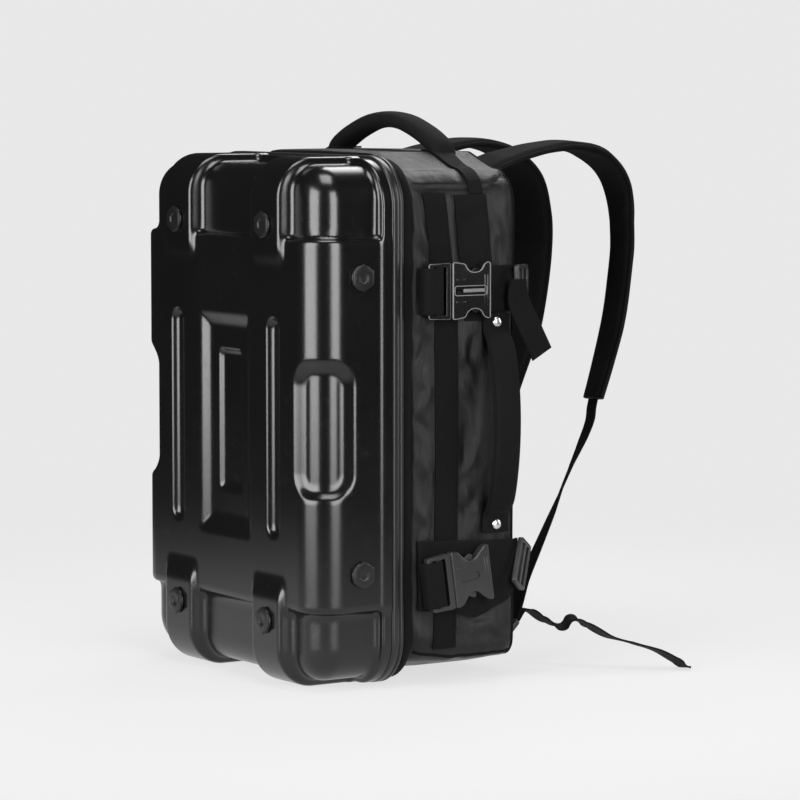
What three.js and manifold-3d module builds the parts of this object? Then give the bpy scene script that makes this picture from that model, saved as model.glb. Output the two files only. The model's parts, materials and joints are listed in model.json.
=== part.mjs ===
// A hard shell backpack: a ribbed moulded shell on a rim frame, a soft bag behind it, two carry handles,
// compression straps with side release buckles, and two padded shoulder straps.
// Millimetres. +Z is up and the hard shell faces -Y. The sizes below count Y from the shell's front face,
// and the finished group is moved so that its origin is on the floor, under the middle of the bag.
import * as THREE from "three";
import { mergeVertices } from "three/addons/utils/BufferGeometryUtils.js";
import Module from "manifold-3d";

const wasm = await Module();
wasm.setup();

// The whole bag
const WIDTH = 330; // across the shell and the bag
const HEIGHT = 500; // from the floor to the top of the shell's feet
const GAP = 0.3; // clearance between pieces that touch

// Hard shell
const SHELL_DEPTH = 84; // front face to the rim
const SHELL_WALL = 3;
const SHELL_EDGE = 33; // radius of the upright front edges
const POCKET_STEP = 8; // how far the end pockets lie behind the front face
const LEDGE_IN = 75; // how far each ledge lies from the shell's end
const LEDGE_SLOPE = 6; // height that a ledge takes to step back
const POCKET_EDGE = 26; // radius of the pockets' front edges
const POCKET_CORNER = 42; // corner radius of the shell, seen from the front
const COLLAR_FRONT = 71; // where the raised collar beside the rim starts
const COLLAR_BEVEL = 5;

// Feet, the four ridges that wrap the shell's top and bottom edges
const FOOT_OFFSET = 82; // centre of a foot from the middle of the bag
const FOOT_HALF = 25; // half width of a foot's outer face
const FOOT_RISE = 5; // how far a foot stands out of the front face
const FOOT_LENGTH = 110; // from the floor to a lower foot's tip
const FOOT_BEND = 38; // radius of its bend over the edge
const FOOT_TAPER = 18; // length over which its tip sinks into the face
const FOOT_SIDE = 10; // how far its sloping sides spread
const FOOT_SIDE_DEPTH = 13; // depth of those sides

// Ribs and recesses of the front face
const GROOVE_OFFSET = 89;
const GROOVE_WIDTH = 22;
const GROOVE_DEPTH = 6;
const GROOVE_FROM_BOTTOM = 142;
const GROOVE_FROM_TOP = 150;
const PANEL_WIDTH = 92;
const PANEL_FROM_BOTTOM = 138;
const PANEL_FROM_TOP = 150;
const PANEL_DEPTH = 7;
const PANEL_BEVEL = 13;
const SLOT_WIDTH = 42;
const SLOT_FROM_BOTTOM = 178;
const SLOT_FROM_TOP = 185;
const SLOT_DEPTH = 4; // below the panel's floor
const SLOT_BEVEL = 4;

// Pill shaped recesses in the upright edges
const GRIP_FROM_BOTTOM = 182;
const GRIP_FROM_TOP = 188;
const GRIP_ACROSS = 62; // width of its mouth, measured on the diagonal
const GRIP_DEPTH = 7;
const GRIP_BEVEL = 11;
const GRIP_END_BEVEL = 16;

// Bolt heads
const BOLT_RADIUS = 13.5;
const BOLT_RISE = 4;
const BOLT_CHAMFER = 1.2;
const BOLT_DIMPLE = 4;
const BOLT_DIMPLE_DEPTH = 1;
const FOOT_BOLT_IN = 63; // how far each foot's bolt lies from the shell's end
const SIDE_BOLT_IN = 111;
const SIDE_BOLT_BACK = 51;

// Rim frame and the binding that sews it to the bag
const RIM_DEPTH = 13;
const RIM_PROUD = 1.5; // how far the rim stands out of the shell's sides
const RIM_LOW = 1; // its lowest point, which is also how far it stands over the shell's top
const RIM_CORNER = 47;
const RIM_THICK = 9;
const RIM_BEVEL = 3;
const BINDING_DEPTH = 11;
const BINDING_IN = 3; // how far it lies inside the rim's outline
const BINDING_THICK = 7;
const BINDING_ROUND = 2.5;

// Soft bag
const BAG_DEPTH = 126.4; // from the binding to the back
const BAG_WALL = 2;
const BAG_EDGE = 25; // radius round the back
const BAG_REST_HALF = 45; // half width of the level strip that stands on the floor
const BAG_SIDE_LIFT = 19; // how much higher the bottom is at the sides
const BAG_OVER = 4; // how far the bag's top lies over the shell's
const BAG_TOP_IN = 73; // width of each sloping shoulder beside the level part of the top
const BAG_SHOULDER_DROP = 16; // how much lower the top is where its corners start
const BAG_LOW_CORNER = 38;
const BAG_HIGH_CORNER = 34;
const BAG_SWELL = 4;

// Webbing and matte panels on the bag
const WEB_THICK = 1.8;
const SIDE_WEB_IN = 22.5; // from the bag's front edge to the upright webbing
const SIDE_WEB_WIDTH = 25;
const SIDE_WEB_LOW = 34;
const SIDE_WEB_DROP = 38; // how far its end lies under the bag's top
const SIDE_WEB_BEND = 154; // how far under the bag's top it starts to lean
const SIDE_WEB_LEAN = 12; // how far its end leans to the front
const SIDE_PANEL_IN = 55; // from the bag's front edge to the matte panel above the upper buckle
const SIDE_PANEL_WIDTH = 34;
const SIDE_PANEL_LENGTH = 119;
const TAB_WIDTH = 27;
const TAB_DROP = 40; // how far its end lies under the bag's top
const TAB_INSIDE = 18; // how far it reaches in under the handle's end

// Compression straps and their side release buckles
const STRAP_IN = 5; // from the bag's front edge to a strap's sewn end
const STRAP_LENGTH = 113;
const STRAP_HEIGHT = 44;
const BUCKLE_HEIGHT = 54;
const BUCKLE_BODY = 44;
const BUCKLE_PLUG = 26;
const BUCKLE_THICK = 9;
const BUCKLE_NOTCH = 9;
const BUCKLE_BAR = 5;
const BUCKLE_SLOT = 5;
const BUCKLE_WALL = 4;
const BUCKLE_IN = 32.5; // from the bag's front edge to where plug and body meet
const UPPER_BUCKLE_DROP = 125.5; // from the shell's top to the upper buckle's middle
const LOWER_BUCKLE_UP = 101;
const LOWER_BUCKLE_TURN = 8; // degrees
const WING_THICK = 2.5; // the wing that carries the lower buckle
const WING_HEIGHT = 76;
const WING_LENGTH = 117;
const LOCK_LENGTH = 28; // sliders and ladder locks
const LOCK_THICK = 5;
const LOCK_BAR = 4;
const SLIDER_HEIGHT = 34;
const SLIDER_FACING = 35; // degrees from sideways to backwards, on the bag's back corner
const HIP_SLIDER_HEIGHT = 46;
const HIP_SLIDER_TILT = 27; // degrees
const SHORT_TAIL_WIDTH = 25;
const SHORT_TAIL_LENGTH = 75;

// Handles
const TOP_HANDLE_WIDTH = 28;
const TOP_HANDLE_THICK = 16;
const TOP_HANDLE_IN = 44.5; // from the bag's back to the handle's middle
const TOP_HANDLE_HALF = 91; // half its span, between the middles of its ends
const TOP_HANDLE_RISE = 29;
const SIDE_HANDLE_WIDTH = 30;
const SIDE_HANDLE_THICK = 11;
const SIDE_HANDLE_IN = 36; // from the bag's back to the handle's middle
const SIDE_HANDLE_LOW = 142;
const SIDE_HANDLE_DROP = 149; // from the shell's top to the handle's upper end
const SIDE_HANDLE_RISE = 21; // from the bag's wall to the middle of the bowed pad
const SIDE_HANDLE_END = 15.5; // length of each flat end that is riveted to the bag
const RIVET_RADIUS = 5;
const RIVET_RISE = 2.2;
const RIVET_IN = 8; // from the handle's end

// Shoulder straps
const PAD_WIDTH = 60;
const PAD_THICK = 11;
const PAD_OUT = 80; // from the middle of the bag to the middle of a pad
const PAD_REACH = 181; // how far the pads stand out behind the bag
const LOWER_WEB_WIDTH = 25;
const LOCK_IN = 54; // from the bag's side to the middle of a ladder lock
const LOCK_BEHIND = 12; // from the bag's back to a ladder lock's middle
const LOCK_UP = 37;
const TAIL_REACH = 154; // how far a loose tail lies out behind the bag
const TAIL_OUT = 113; // how far its end lies out from the ladder lock
const SHOULDER_LOCK_WIDTH = 33;

// Places worked out from the sizes above
const LEDGE_LOW = LEDGE_IN;
const LEDGE_HIGH = HEIGHT - LEDGE_IN;
const BAG_TOP = HEIGHT + BAG_OVER;
const RIM_FRONT = SHELL_DEPTH + GAP;
const RIM_BACK = RIM_FRONT + RIM_DEPTH;
const BINDING_FRONT = RIM_BACK + GAP;
const BAG_FRONT = BINDING_FRONT + BINDING_DEPTH + GAP;
const BAG_BACK = BAG_FRONT + BAG_DEPTH;
const SIDE = WIDTH / 2;
const LOCK_OUT = SIDE - LOCK_IN;
const ORIGIN_BACK = BAG_FRONT + 0.4 * BAG_DEPTH;
const BUCKLE_BACK = BAG_FRONT + BUCKLE_IN;
const UPPER_BUCKLE_UP = HEIGHT - UPPER_BUCKLE_DROP;
const WALL_OUT = SIDE - 1 + BAG_SWELL; // the widest the bag's side walls reach
const LAYER = WEB_THICK + GAP; // height that one layer of webbing adds
const LOOP_BACK = -BUCKLE_PLUG + 2 * BUCKLE_BAR + BUCKLE_SLOT + GAP; // where the webbing has passed both bars
const PAST = 30; // how far a cutting solid reaches past what it cuts

const MATERIALS = {
  shell: new THREE.MeshStandardMaterial({ color: 0x141415, roughness: 0.3, metalness: 0 }),
  bolt: new THREE.MeshStandardMaterial({ color: 0x1b1b1c, roughness: 0.45, metalness: 0 }),
  rim: new THREE.MeshStandardMaterial({ color: 0x161617, roughness: 0.35, metalness: 0 }),
  ripstop: new THREE.MeshStandardMaterial({ color: 0x1d1d1e, roughness: 0.45, metalness: 0 }),
  webbing: new THREE.MeshStandardMaterial({ color: 0x0f0f10, roughness: 0.85, metalness: 0 }),
  padding: new THREE.MeshStandardMaterial({ color: 0x121213, roughness: 0.9, metalness: 0 }),
  buckle: new THREE.MeshStandardMaterial({ color: 0x1a1a1b, roughness: 0.4, metalness: 0 }),
  rivet: new THREE.MeshStandardMaterial({ color: 0xb9b9b6, roughness: 0.3, metalness: 1 }),
};

const V = (x, y, z) => new THREE.Vector3(x, y, z);
const radians = THREE.MathUtils.degToRad;
const mix = THREE.MathUtils.lerp;

// A closed three.js geometry as a solid that can be joined and cut.
function toSolid(geometry) {
  const loose = geometry.index ? geometry.toNonIndexed() : geometry;
  const bare = new THREE.BufferGeometry().setAttribute("position", loose.getAttribute("position"));
  const merged = mergeVertices(bare, 1e-3);
  const triVerts = new Uint32Array(merged.index.array);
  const vertProperties = merged.attributes.position.array;
  const made = new wasm.Manifold(new wasm.Mesh({ numProp: 3, vertProperties, triVerts }));
  if (made.volume() > 0) return made;
  for (let i = 0; i < triVerts.length; i += 3)
    [triVerts[i], triVerts[i + 1]] = [triVerts[i + 1], triVerts[i]];
  return new wasm.Manifold(new wasm.Mesh({ numProp: 3, vertProperties, triVerts }));
}

// A solid as a three.js geometry.
function toGeometry(solid) {
  const { vertProperties, triVerts } = solid.getMesh();
  const geometry = new THREE.BufferGeometry();
  geometry.setAttribute("position", new THREE.BufferAttribute(new Float32Array(vertProperties), 3));
  geometry.setIndex(new THREE.BufferAttribute(new Uint32Array(triVerts), 1));
  geometry.computeVertexNormals();
  return geometry;
}

const join = (solids) => solids.reduce((all, next) => all.add(next));

function piece(name, solid, material) {
  const mesh = new THREE.Mesh(toGeometry(solid), material);
  mesh.name = name;
  return mesh;
}

// The two triangles rows that close one flat ring of points.
function capOf(ring) {
  const normal = V(0, 0, 0);
  ring.forEach((p, i) => normal.add(p.clone().cross(ring[(i + 1) % ring.length])));
  normal.normalize();
  const side = Math.abs(normal.x) < 0.9 ? V(1, 0, 0) : V(0, 1, 0);
  const u = side.sub(normal.clone().multiplyScalar(side.dot(normal))).normalize();
  const v = normal.clone().cross(u);
  return THREE.ShapeUtils.triangulateShape(ring.map((p) => new THREE.Vector2(p.dot(u), p.dot(v))), []);
}

// A closed solid through rings of points, each ring with as many points as the next.
function loft(rings) {
  const n = rings[0].length;
  const last = (rings.length - 1) * n;
  const triangles = [];
  for (let r = 0; r + 1 < rings.length; r++)
    for (let i = 0; i < n; i++) {
      const [a, b] = [r * n + i, r * n + ((i + 1) % n)];
      triangles.push(a, b, b + n, a, b + n, a + n);
    }
  for (const [a, b, c] of capOf(rings[0])) triangles.push(c, b, a);
  for (const [a, b, c] of capOf(rings.at(-1))) triangles.push(last + a, last + b, last + c);
  const geometry = new THREE.BufferGeometry().setFromPoints(rings.flat());
  geometry.setIndex(triangles);
  return toSolid(geometry);
}

// A rounded rectangle as a ring of 2D points.
function roundedRing(left, right, low, high, radius, steps) {
  const r = Math.min(radius, (right - left) / 2 - 0.1, (high - low) / 2 - 0.1);
  const corners = [
    [right - r, low + r, -90],
    [right - r, high - r, 0],
    [left + r, high - r, 90],
    [left + r, low + r, 180],
  ];
  return corners.flatMap(([x, y, start]) =>
    Array.from({ length: steps + 1 }, (_, i) => {
      const turn = radians(start + (90 * i) / steps);
      return new THREE.Vector2(x + r * Math.cos(turn), y + r * Math.sin(turn));
    }),
  );
}

const ringAtY = (ring, y) => ring.map((p) => V(p.x, y, p.y));
const shapeOf = (points) => new THREE.Shape(points);

// An outline in the XZ plane as a prism from one Y to another.
const prismY = (ring, from, to) => loft([ringAtY(ring, from), ringAtY(ring, to)]);

// A recess cutter in the front face: its mouth is an outline, and its floor is smaller by the bevel.
function frontCutter(half, low, high, corner, floor, bevel, middle, grow) {
  const ring = (inset) =>
    roundedRing(middle - half + inset - grow, middle + half - inset + grow, low + inset - grow,
      high - inset + grow, corner, 2);
  return loft([ringAtY(ring(0), -PAST), ringAtY(ring(0), 0), ringAtY(ring(bevel), floor + grow)]);
}

// The shell between its two ledges, inset by t on every side.
function shellMiddle(t) {
  const [half, radius] = [SIDE - t, SHELL_EDGE - t];
  const outline = new THREE.Shape();
  outline.moveTo(-half, SHELL_DEPTH + PAST);
  outline.lineTo(-half, t + radius);
  outline.absarc(-half + radius, t + radius, radius, Math.PI, 1.5 * Math.PI, false);
  outline.absarc(half - radius, t + radius, radius, 1.5 * Math.PI, 2 * Math.PI, false);
  outline.lineTo(half, SHELL_DEPTH + PAST);
  const depth = LEDGE_HIGH - LEDGE_LOW - 2 * LEDGE_SLOPE - 2 * t;
  const bevel = { bevelThickness: LEDGE_SLOPE, bevelSize: POCKET_STEP + 1, bevelOffset: -POCKET_STEP - 1 };
  const shape = { depth, ...bevel, bevelSegments: 1, curveSegments: 5 };
  const geometry = new THREE.ExtrudeGeometry(outline, shape);
  return toSolid(geometry.translate(0, 0, LEDGE_LOW + LEDGE_SLOPE + t));
}

// The whole shell at the level of its end pockets.
function shellEnds(t) {
  const steps = 4;
  const rings = Array.from({ length: steps + 1 }, (_, i) => {
    const turn = radians((90 * i) / steps);
    const inset = t + POCKET_STEP + POCKET_EDGE * (1 - Math.sin(turn));
    const ring = roundedRing(-SIDE + inset, SIDE - inset, inset, HEIGHT - inset,
      POCKET_CORNER - POCKET_EDGE * (1 - Math.sin(turn)), 4);
    return ringAtY(ring, t + POCKET_STEP + POCKET_EDGE * (1 - Math.cos(turn)));
  });
  return loft([...rings, rings.at(-1).map((p) => V(p.x, SHELL_DEPTH + PAST, p.z))]);
}

// The raised collar round the shell's back edge.
function shellCollar(t) {
  const ring = (inset) =>
    roundedRing(-SIDE + inset, SIDE - inset, RIM_PROUD + inset, HEIGHT - RIM_PROUD - inset,
      RIM_CORNER - inset, 4);
  const front = COLLAR_FRONT + t;
  return loft([ringAtY(ring(t + COLLAR_BEVEL + 4), front), ringAtY(ring(t), front + COLLAR_BEVEL),
    ringAtY(ring(t), SHELL_DEPTH + PAST)]);
}

// One lower foot, centred on X = 0: its side profile, drawn out sideways with sloping flanks.
function shellFoot(t) {
  const [front, tip] = [t - FOOT_RISE, FOOT_LENGTH - t];
  const [bendBack, bendUp] = [front + FOOT_BEND, t + FOOT_BEND];
  const profile = new THREE.Shape();
  profile.moveTo(SHELL_DEPTH + PAST, t);
  profile.lineTo(SHELL_DEPTH + PAST, tip);
  profile.lineTo(FOOT_RISE + t, tip);
  profile.lineTo(front, tip - FOOT_TAPER);
  profile.lineTo(front, bendUp);
  profile.absarc(bendBack, bendUp, FOOT_BEND - t, Math.PI, 1.5 * Math.PI, false);
  const bevel = { bevelThickness: FOOT_SIDE, bevelSize: FOOT_SIDE_DEPTH, bevelOffset: -FOOT_SIDE_DEPTH };
  const depth = 2 * (FOOT_HALF - t);
  const shape = { depth, ...bevel, bevelSegments: 1, curveSegments: 4 };
  const geometry = new THREE.ExtrudeGeometry(profile, shape);
  geometry.translate(0, 0, -depth / 2);
  geometry.applyMatrix4(new THREE.Matrix4().makeBasis(V(0, 1, 0), V(0, 0, 1), V(1, 0, 0)));
  return toSolid(geometry);
}

// The cutter for the pill shaped recess in the right upright edge.
function gripCutter(t) {
  const diagonal = V(1, -1, 0).normalize();
  const across = V(1, 1, 0).normalize();
  const centre = V(SIDE - SHELL_EDGE, SHELL_EDGE, 0).addScaledVector(diagonal, SHELL_EDGE);
  const pill = (inset, endInset, out) =>
    roundedRing(-GRIP_ACROSS / 2 + inset, GRIP_ACROSS / 2 - inset, GRIP_FROM_BOTTOM + endInset,
      HEIGHT - GRIP_FROM_TOP - endInset, GRIP_ACROSS / 2, 4).map((p) =>
      centre.clone().addScaledVector(across, p.x).addScaledVector(diagonal, out).setZ(p.y));
  const mouth = -SHELL_EDGE * (1 - Math.SQRT1_2) + 1;
  const deep = mouth - GRIP_DEPTH - 2;
  const block = loft([pill(-t, -t, PAST), pill(-t, -t, mouth),
    pill(GRIP_BEVEL - t, GRIP_END_BEVEL - t, deep - PAST)]);
  return block.subtract(shellMiddle(t + GRIP_DEPTH));
}

const mirrorX = (solid) => solid.mirror([1, 0, 0]);
const flipUp = (solid) => solid.mirror([0, 0, 1]).translate([0, 0, HEIGHT]);

// The shell's outer form at t = 0, and its hollow at t = the wall.
function shellForm(t) {
  const low = shellFoot(t).translate([FOOT_OFFSET, 0, 0]);
  const feet = [low, mirrorX(low), flipUp(low), flipUp(mirrorX(low))];
  const groove = frontCutter(GROOVE_WIDTH / 2, GROOVE_FROM_BOTTOM, HEIGHT - GROOVE_FROM_TOP, GROOVE_WIDTH / 2,
    GROOVE_DEPTH, GROOVE_WIDTH / 4, GROOVE_OFFSET, t);
  const panel = frontCutter(PANEL_WIDTH / 2, PANEL_FROM_BOTTOM, HEIGHT - PANEL_FROM_TOP, 4,
    PANEL_DEPTH, PANEL_BEVEL, 0, t);
  const slot = frontCutter(SLOT_WIDTH / 2, SLOT_FROM_BOTTOM, HEIGHT - SLOT_FROM_TOP, 4,
    PANEL_DEPTH + SLOT_DEPTH, SLOT_BEVEL, 0, t);
  const grip = gripCutter(t);
  const body = join([shellMiddle(t), shellEnds(t), shellCollar(t), ...feet]);
  return body.subtract(join([groove, mirrorX(groove), panel, slot, grip, mirrorX(grip)]));
}

function hardShell() {
  const behind = roundedRing(-WIDTH, WIDTH, -PAST, HEIGHT + PAST, 1, 1);
  const back = prismY(behind, SHELL_DEPTH, SHELL_DEPTH + 2 * PAST);
  return shellForm(0).subtract(shellForm(SHELL_WALL)).subtract(back);
}

// A bolt head that stands up along +Z, with a chamfer round it and a dimple in its middle.
function boltHead() {
  const ring = (radius, up) =>
    Array.from({ length: 10 }, (_, i) => {
      const turn = radians(36 * i);
      return V(radius * Math.cos(turn), radius * Math.sin(turn), up);
    });
  const top = BOLT_RISE;
  return loft([ring(BOLT_RADIUS, 0), ring(BOLT_RADIUS, top - BOLT_CHAMFER),
    ring(BOLT_RADIUS - BOLT_CHAMFER, top), ring(BOLT_DIMPLE, top),
    ring(BOLT_DIMPLE / 2, top - BOLT_DIMPLE_DEPTH)]);
}

// Everything that stands on a wall: a solid built along +Z, turned to face a direction and moved to a place.
function facing(solid, direction, place) {
  const turn = new THREE.Quaternion().setFromUnitVectors(V(0, 0, 1), direction);
  const geometry = toGeometry(solid).applyQuaternion(turn);
  return toSolid(geometry.translate(place.x, place.y, place.z));
}

function addBolts() {
  for (const [end, up] of Object.entries({ low: FOOT_BOLT_IN, high: HEIGHT - FOOT_BOLT_IN }))
    for (const [side, sign] of Object.entries({ right: 1, left: -1 })) {
      const place = V(sign * FOOT_OFFSET, -FOOT_RISE - GAP, up);
      add(`foot_bolt_${end}_${side}`, facing(boltHead(), V(0, -1, 0), place), MATERIALS.bolt);
    }
  for (const [end, up] of Object.entries({ low: SIDE_BOLT_IN, high: HEIGHT - SIDE_BOLT_IN }))
    for (const [side, sign] of Object.entries({ right: 1, left: -1 })) {
      const place = V(sign * (SIDE + GAP), SIDE_BOLT_BACK, up);
      add(`side_bolt_${end}_${side}`, facing(boltHead(), V(sign, 0, 0), place), MATERIALS.bolt);
    }
}

// A ring that follows the rim's outline, moved in by an inset, with rounded outer edges.
function rimRing(inset, thick, from, to, round) {
  const ring = (more, steps = 5) =>
    roundedRing(-SIDE - RIM_PROUD + inset + more, SIDE + RIM_PROUD - inset - more, RIM_LOW + inset + more,
      HEIGHT + RIM_LOW - inset - more, RIM_CORNER - inset - more, steps);
  const outer = loft([ringAtY(ring(round), from), ringAtY(ring(0), from + round),
    ringAtY(ring(0), to - round), ringAtY(ring(round), to)]);
  return outer.subtract(prismY(ring(thick, 3), from - 1, to + 1));
}

// One section of the bag as a ring round the outline, grown by a margin.
function bagRing({ y, inset, swell }, grow) {
  const half = SIDE - 1 - inset + grow;
  const [low, high] = [inset - grow, BAG_TOP - inset + grow];
  const [lowSide, highSide] = [low + BAG_SIDE_LIFT, high - BAG_SHOULDER_DROP];
  const [lowR, highR] = [BAG_LOW_CORNER - inset / 2, BAG_HIGH_CORNER - inset / 2];
  const arc = (x, z, r, from) =>
    Array.from({ length: 5 }, (_, i) => {
      const turn = radians(from + 22.5 * i);
      return [x + r * Math.cos(turn), z + r * Math.sin(turn)];
    });
  const sides = 8;
  const wall = Array.from({ length: sides - 1 }, (_, i) => {
    const share = (i + 1) / sides;
    const z = mix(lowSide + lowR, highSide - highR, share);
    return [half + swell * Math.sin(Math.PI * share) - foldAt(y, z), z];
  });
  const right = [
    [0, low],
    [BAG_REST_HALF, low],
    [mix(BAG_REST_HALF, half - lowR, 0.55), mix(low, lowSide, 0.45)],
    ...arc(half - lowR, lowSide + lowR, lowR, -90),
    ...wall,
    ...arc(half - highR, highSide - highR, highR, 0),
    [half - BAG_TOP_IN, high - 1],
    [0, high],
  ];
  const left = right.slice(1, -1).reverse().map(([x, z]) => [-x, z]);
  return [...right, ...left].map(([x, z]) => V(x, y, z));
}

// Puckers in the side walls: how far back and up each lies, as shares of the bag's depth and height,
// how deep it is as a share of the swell, and how far it reaches as a share of the bag's depth.
const FOLDS = [
  { back: 0.08, up: 0.3, deep: 0.7, reach: 0.14 },
  { back: 0.08, up: 0.43, deep: 0.6, reach: 0.12 },
  { back: 0.08, up: 0.57, deep: 0.7, reach: 0.14 },
  { back: 0.1, up: 0.72, deep: 0.6, reach: 0.12 },
  { back: 0.5, up: 0.33, deep: 0.5, reach: 0.2 },
  { back: 0.5, up: 0.64, deep: 0.6, reach: 0.2 },
];

function foldAt(y, z) {
  return FOLDS.reduce((sum, fold) => {
    const off = Math.hypot(y - BAG_FRONT - fold.back * BAG_DEPTH, z - fold.up * HEIGHT);
    const away = off / (fold.reach * BAG_DEPTH);
    return sum + fold.deep * BAG_SWELL * Math.exp(-away * away);
  }, 0);
}

// The bag's sections: how far back each lies as a share of its depth, how far its outline is drawn in as a
// share of the back edge's radius, and how far its sides swell as a share of the swell.
const BAG_SECTIONS = [
  { back: 0, inset: 0.12, swell: 0 },
  { back: 0.08, inset: 0.02, swell: 0.4 },
  { back: 0.25, inset: 0, swell: 0.9 },
  { back: 0.5, inset: 0, swell: 1 },
  { back: 0.7, inset: 0, swell: 0.7 },
];

// The bag as a full body, grown by a margin, or shrunk to make its hollow.
function bagForm(grow) {
  const sections = BAG_SECTIONS.map(({ back, inset, swell }) => ({
    y: BAG_FRONT + back * BAG_DEPTH,
    inset: inset * BAG_EDGE,
    swell: swell * BAG_SWELL,
  }));
  const steps = 4;
  for (let i = 0; i <= steps; i++) {
    const turn = radians((90 * i) / steps);
    const y = BAG_BACK + grow - BAG_EDGE * (1 - Math.sin(turn));
    sections.push({ y, inset: BAG_EDGE * (1 - Math.cos(turn)), swell: (1 - i / steps) * 0.2 * BAG_SWELL });
  }
  const right = loft(sections.map((section) => bagRing(section, grow)))
    .intersect(box(0, WIDTH, -PAST, WIDTH, -PAST, HEIGHT + PAST));
  return right.add(mirrorX(right));
}

function bagBody() {
  const mouth = roundedRing(-SIDE + 8, SIDE - 8, 8, BAG_TOP - 8, BAG_LOW_CORNER, 3);
  return bagForm(0).subtract(bagForm(-BAG_WALL)).subtract(prismY(mouth, BAG_FRONT - 1, BAG_FRONT + BAG_WALL));
}

// A patch that lies on the bag's surface inside an outline in the YZ plane, on the right side.
function sidePatch(outline, thick, off = GAP) {
  const shape = new THREE.Shape(outline.map(([y, z]) => new THREE.Vector2(y, z)));
  const geometry = new THREE.ExtrudeGeometry(shape, { depth: WIDTH, bevelEnabled: false, curveSegments: 6 });
  geometry.applyMatrix4(new THREE.Matrix4().makeBasis(V(0, 1, 0), V(0, 0, 1), V(1, 0, 0)));
  return bagForm(off + thick).subtract(bagForm(off)).intersect(toSolid(geometry.translate(SIDE / 2, 0, 0)));
}

// A flat or padded strap: a section carried along a smooth curve. Each row gives a point that the middle of
// the strap passes through, how many degrees it is twisted, and its width and thickness there as shares.
function strap(rows, { width, thick, along, steps, padded = false }) {
  const curve = new THREE.CatmullRomCurve3(rows.map(({ x, y, z }) => V(x, y, z)), false, "centripetal");
  const column = (name, plain, at) => {
    const before = Math.min(Math.floor(at), rows.length - 1);
    const after = Math.min(before + 1, rows.length - 1);
    return mix(rows[before][name] ?? plain, rows[after][name] ?? plain, at - before);
  };
  const rings = Array.from({ length: steps + 1 }, (_, i) => {
    const at = curve.getPoint(i / steps);
    const tangent = curve.getTangent(i / steps);
    const row = (i / steps) * (rows.length - 1);
    const across = along.clone().addScaledVector(tangent, -along.dot(tangent)).normalize();
    across.applyAxisAngle(tangent, radians(column("twist", 0, row)));
    const out = tangent.clone().cross(across);
    const w = (width / 2) * column("wide", 1, row);
    const h = (thick / 2) * column("deep", 1, row);
    const section = padded
      ? [[-w, -h / 3], [-w * 0.84, -h], [w * 0.84, -h], [w, -h / 3], [w, h / 3], [w * 0.84, h],
        [-w * 0.84, h], [-w, h / 3]]
      : [[-w, -h], [w, -h], [w, h], [-w, h]];
    return section.map(([a, b]) => at.clone().addScaledVector(across, a).addScaledVector(out, b));
  });
  return loft(rings);
}

const P = (y, z) => new THREE.Vector2(y, z);
const SIDEWAYS = new THREE.Matrix4().makeBasis(V(0, 1, 0), V(0, 0, 1), V(1, 0, 0));

// A bevelled plate drawn in the YZ plane, with rectangular holes, standing out along +X from a given X.
function sidePlate(outline, holes, thick, out) {
  const bevel = { bevelThickness: 1, bevelSize: 1, bevelOffset: -1, bevelSegments: 1 };
  const plate = new THREE.ExtrudeGeometry(new THREE.Shape(outline), { depth: thick - 2, ...bevel });
  const solid = toSolid(plate.applyMatrix4(SIDEWAYS).translate(out + 1, 0, 0));
  const cuts = holes.map(([from, to, half]) => box(out - 1, out + thick + 1, from, to, -half, half));
  return cuts.length ? solid.subtract(join(cuts)) : solid;
}

function box(x0, x1, y0, y1, z0, z1) {
  const geometry = new THREE.BoxGeometry(x1 - x0, y1 - y0, z1 - z0);
  return toSolid(geometry.translate((x0 + x1) / 2, (y0 + y1) / 2, (z0 + z1) / 2));
}

// A buckle's body: a plate with a notch in its upper and lower side, where the plug's prongs show.
function buckleBody(out) {
  const [h, n, b] = [BUCKLE_HEIGHT / 2, BUCKLE_NOTCH, BUCKLE_BODY];
  const upper = [P(b, h), P(b * 0.8, h), P(b * 0.66, h - n), P(b * 0.5, h - n), P(b * 0.3, h - 1.5),
    P(GAP, h)];
  const lower = upper.map(({ x, y }) => P(x, -y)).reverse();
  return sidePlate([...lower, ...upper], [], BUCKLE_THICK, out);
}

// A buckle's plug: a frame with two bars that the webbing loops round.
function bucklePlug(out) {
  const half = BUCKLE_HEIGHT / 2;
  const first = -BUCKLE_PLUG + BUCKLE_BAR;
  const second = first + BUCKLE_SLOT + BUCKLE_BAR;
  const outline = [P(-BUCKLE_PLUG, -half), P(0, -half), P(0, half), P(-BUCKLE_PLUG, half)];
  const holes = [first, second].map((from) => [from, from + BUCKLE_SLOT, half - BUCKLE_WALL]);
  return sidePlate(outline, holes, BUCKLE_THICK - 2, out + 1);
}

// The webbing loop round the plug's bars, open towards the bag.
function barLoop(out) {
  const [front, back] = [-BUCKLE_PLUG - GAP, LOOP_BACK];
  const [top, half] = [out + BUCKLE_THICK - 1 + GAP, STRAP_HEIGHT / 2];
  const outer = box(out - PAST, top + WEB_THICK, front - WEB_THICK, back + WEB_THICK, -half, half);
  return outer.subtract(box(out - 2 * PAST, top, front, back, -half - 1, half + 1));
}

// A slider or ladder lock: a frame with two slots and a bar between them, flat in the YZ plane.
function slider(height, length) {
  const [h, half] = [height / 2, length / 2];
  const outline = [P(-half, -h), P(half, -h), P(half, h), P(-half, h)];
  const holes = [[-half + LOCK_BAR, -LOCK_BAR / 2, h - LOCK_BAR],
    [LOCK_BAR / 2, half - LOCK_BAR, h - LOCK_BAR]];
  return sidePlate(outline, holes, LOCK_THICK, 0);
}

// A point on the bag's back corner, seen from above, at a given distance from its surface.
function onCorner(facing, distance) {
  const middle = distance - BAG_EDGE;
  return V(SIDE - 1 + middle + (BAG_EDGE + 2 * GAP) * Math.cos(radians(facing)),
    BAG_BACK + middle + (BAG_EDGE + 2 * GAP) * Math.sin(radians(facing)), 0);
}

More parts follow.
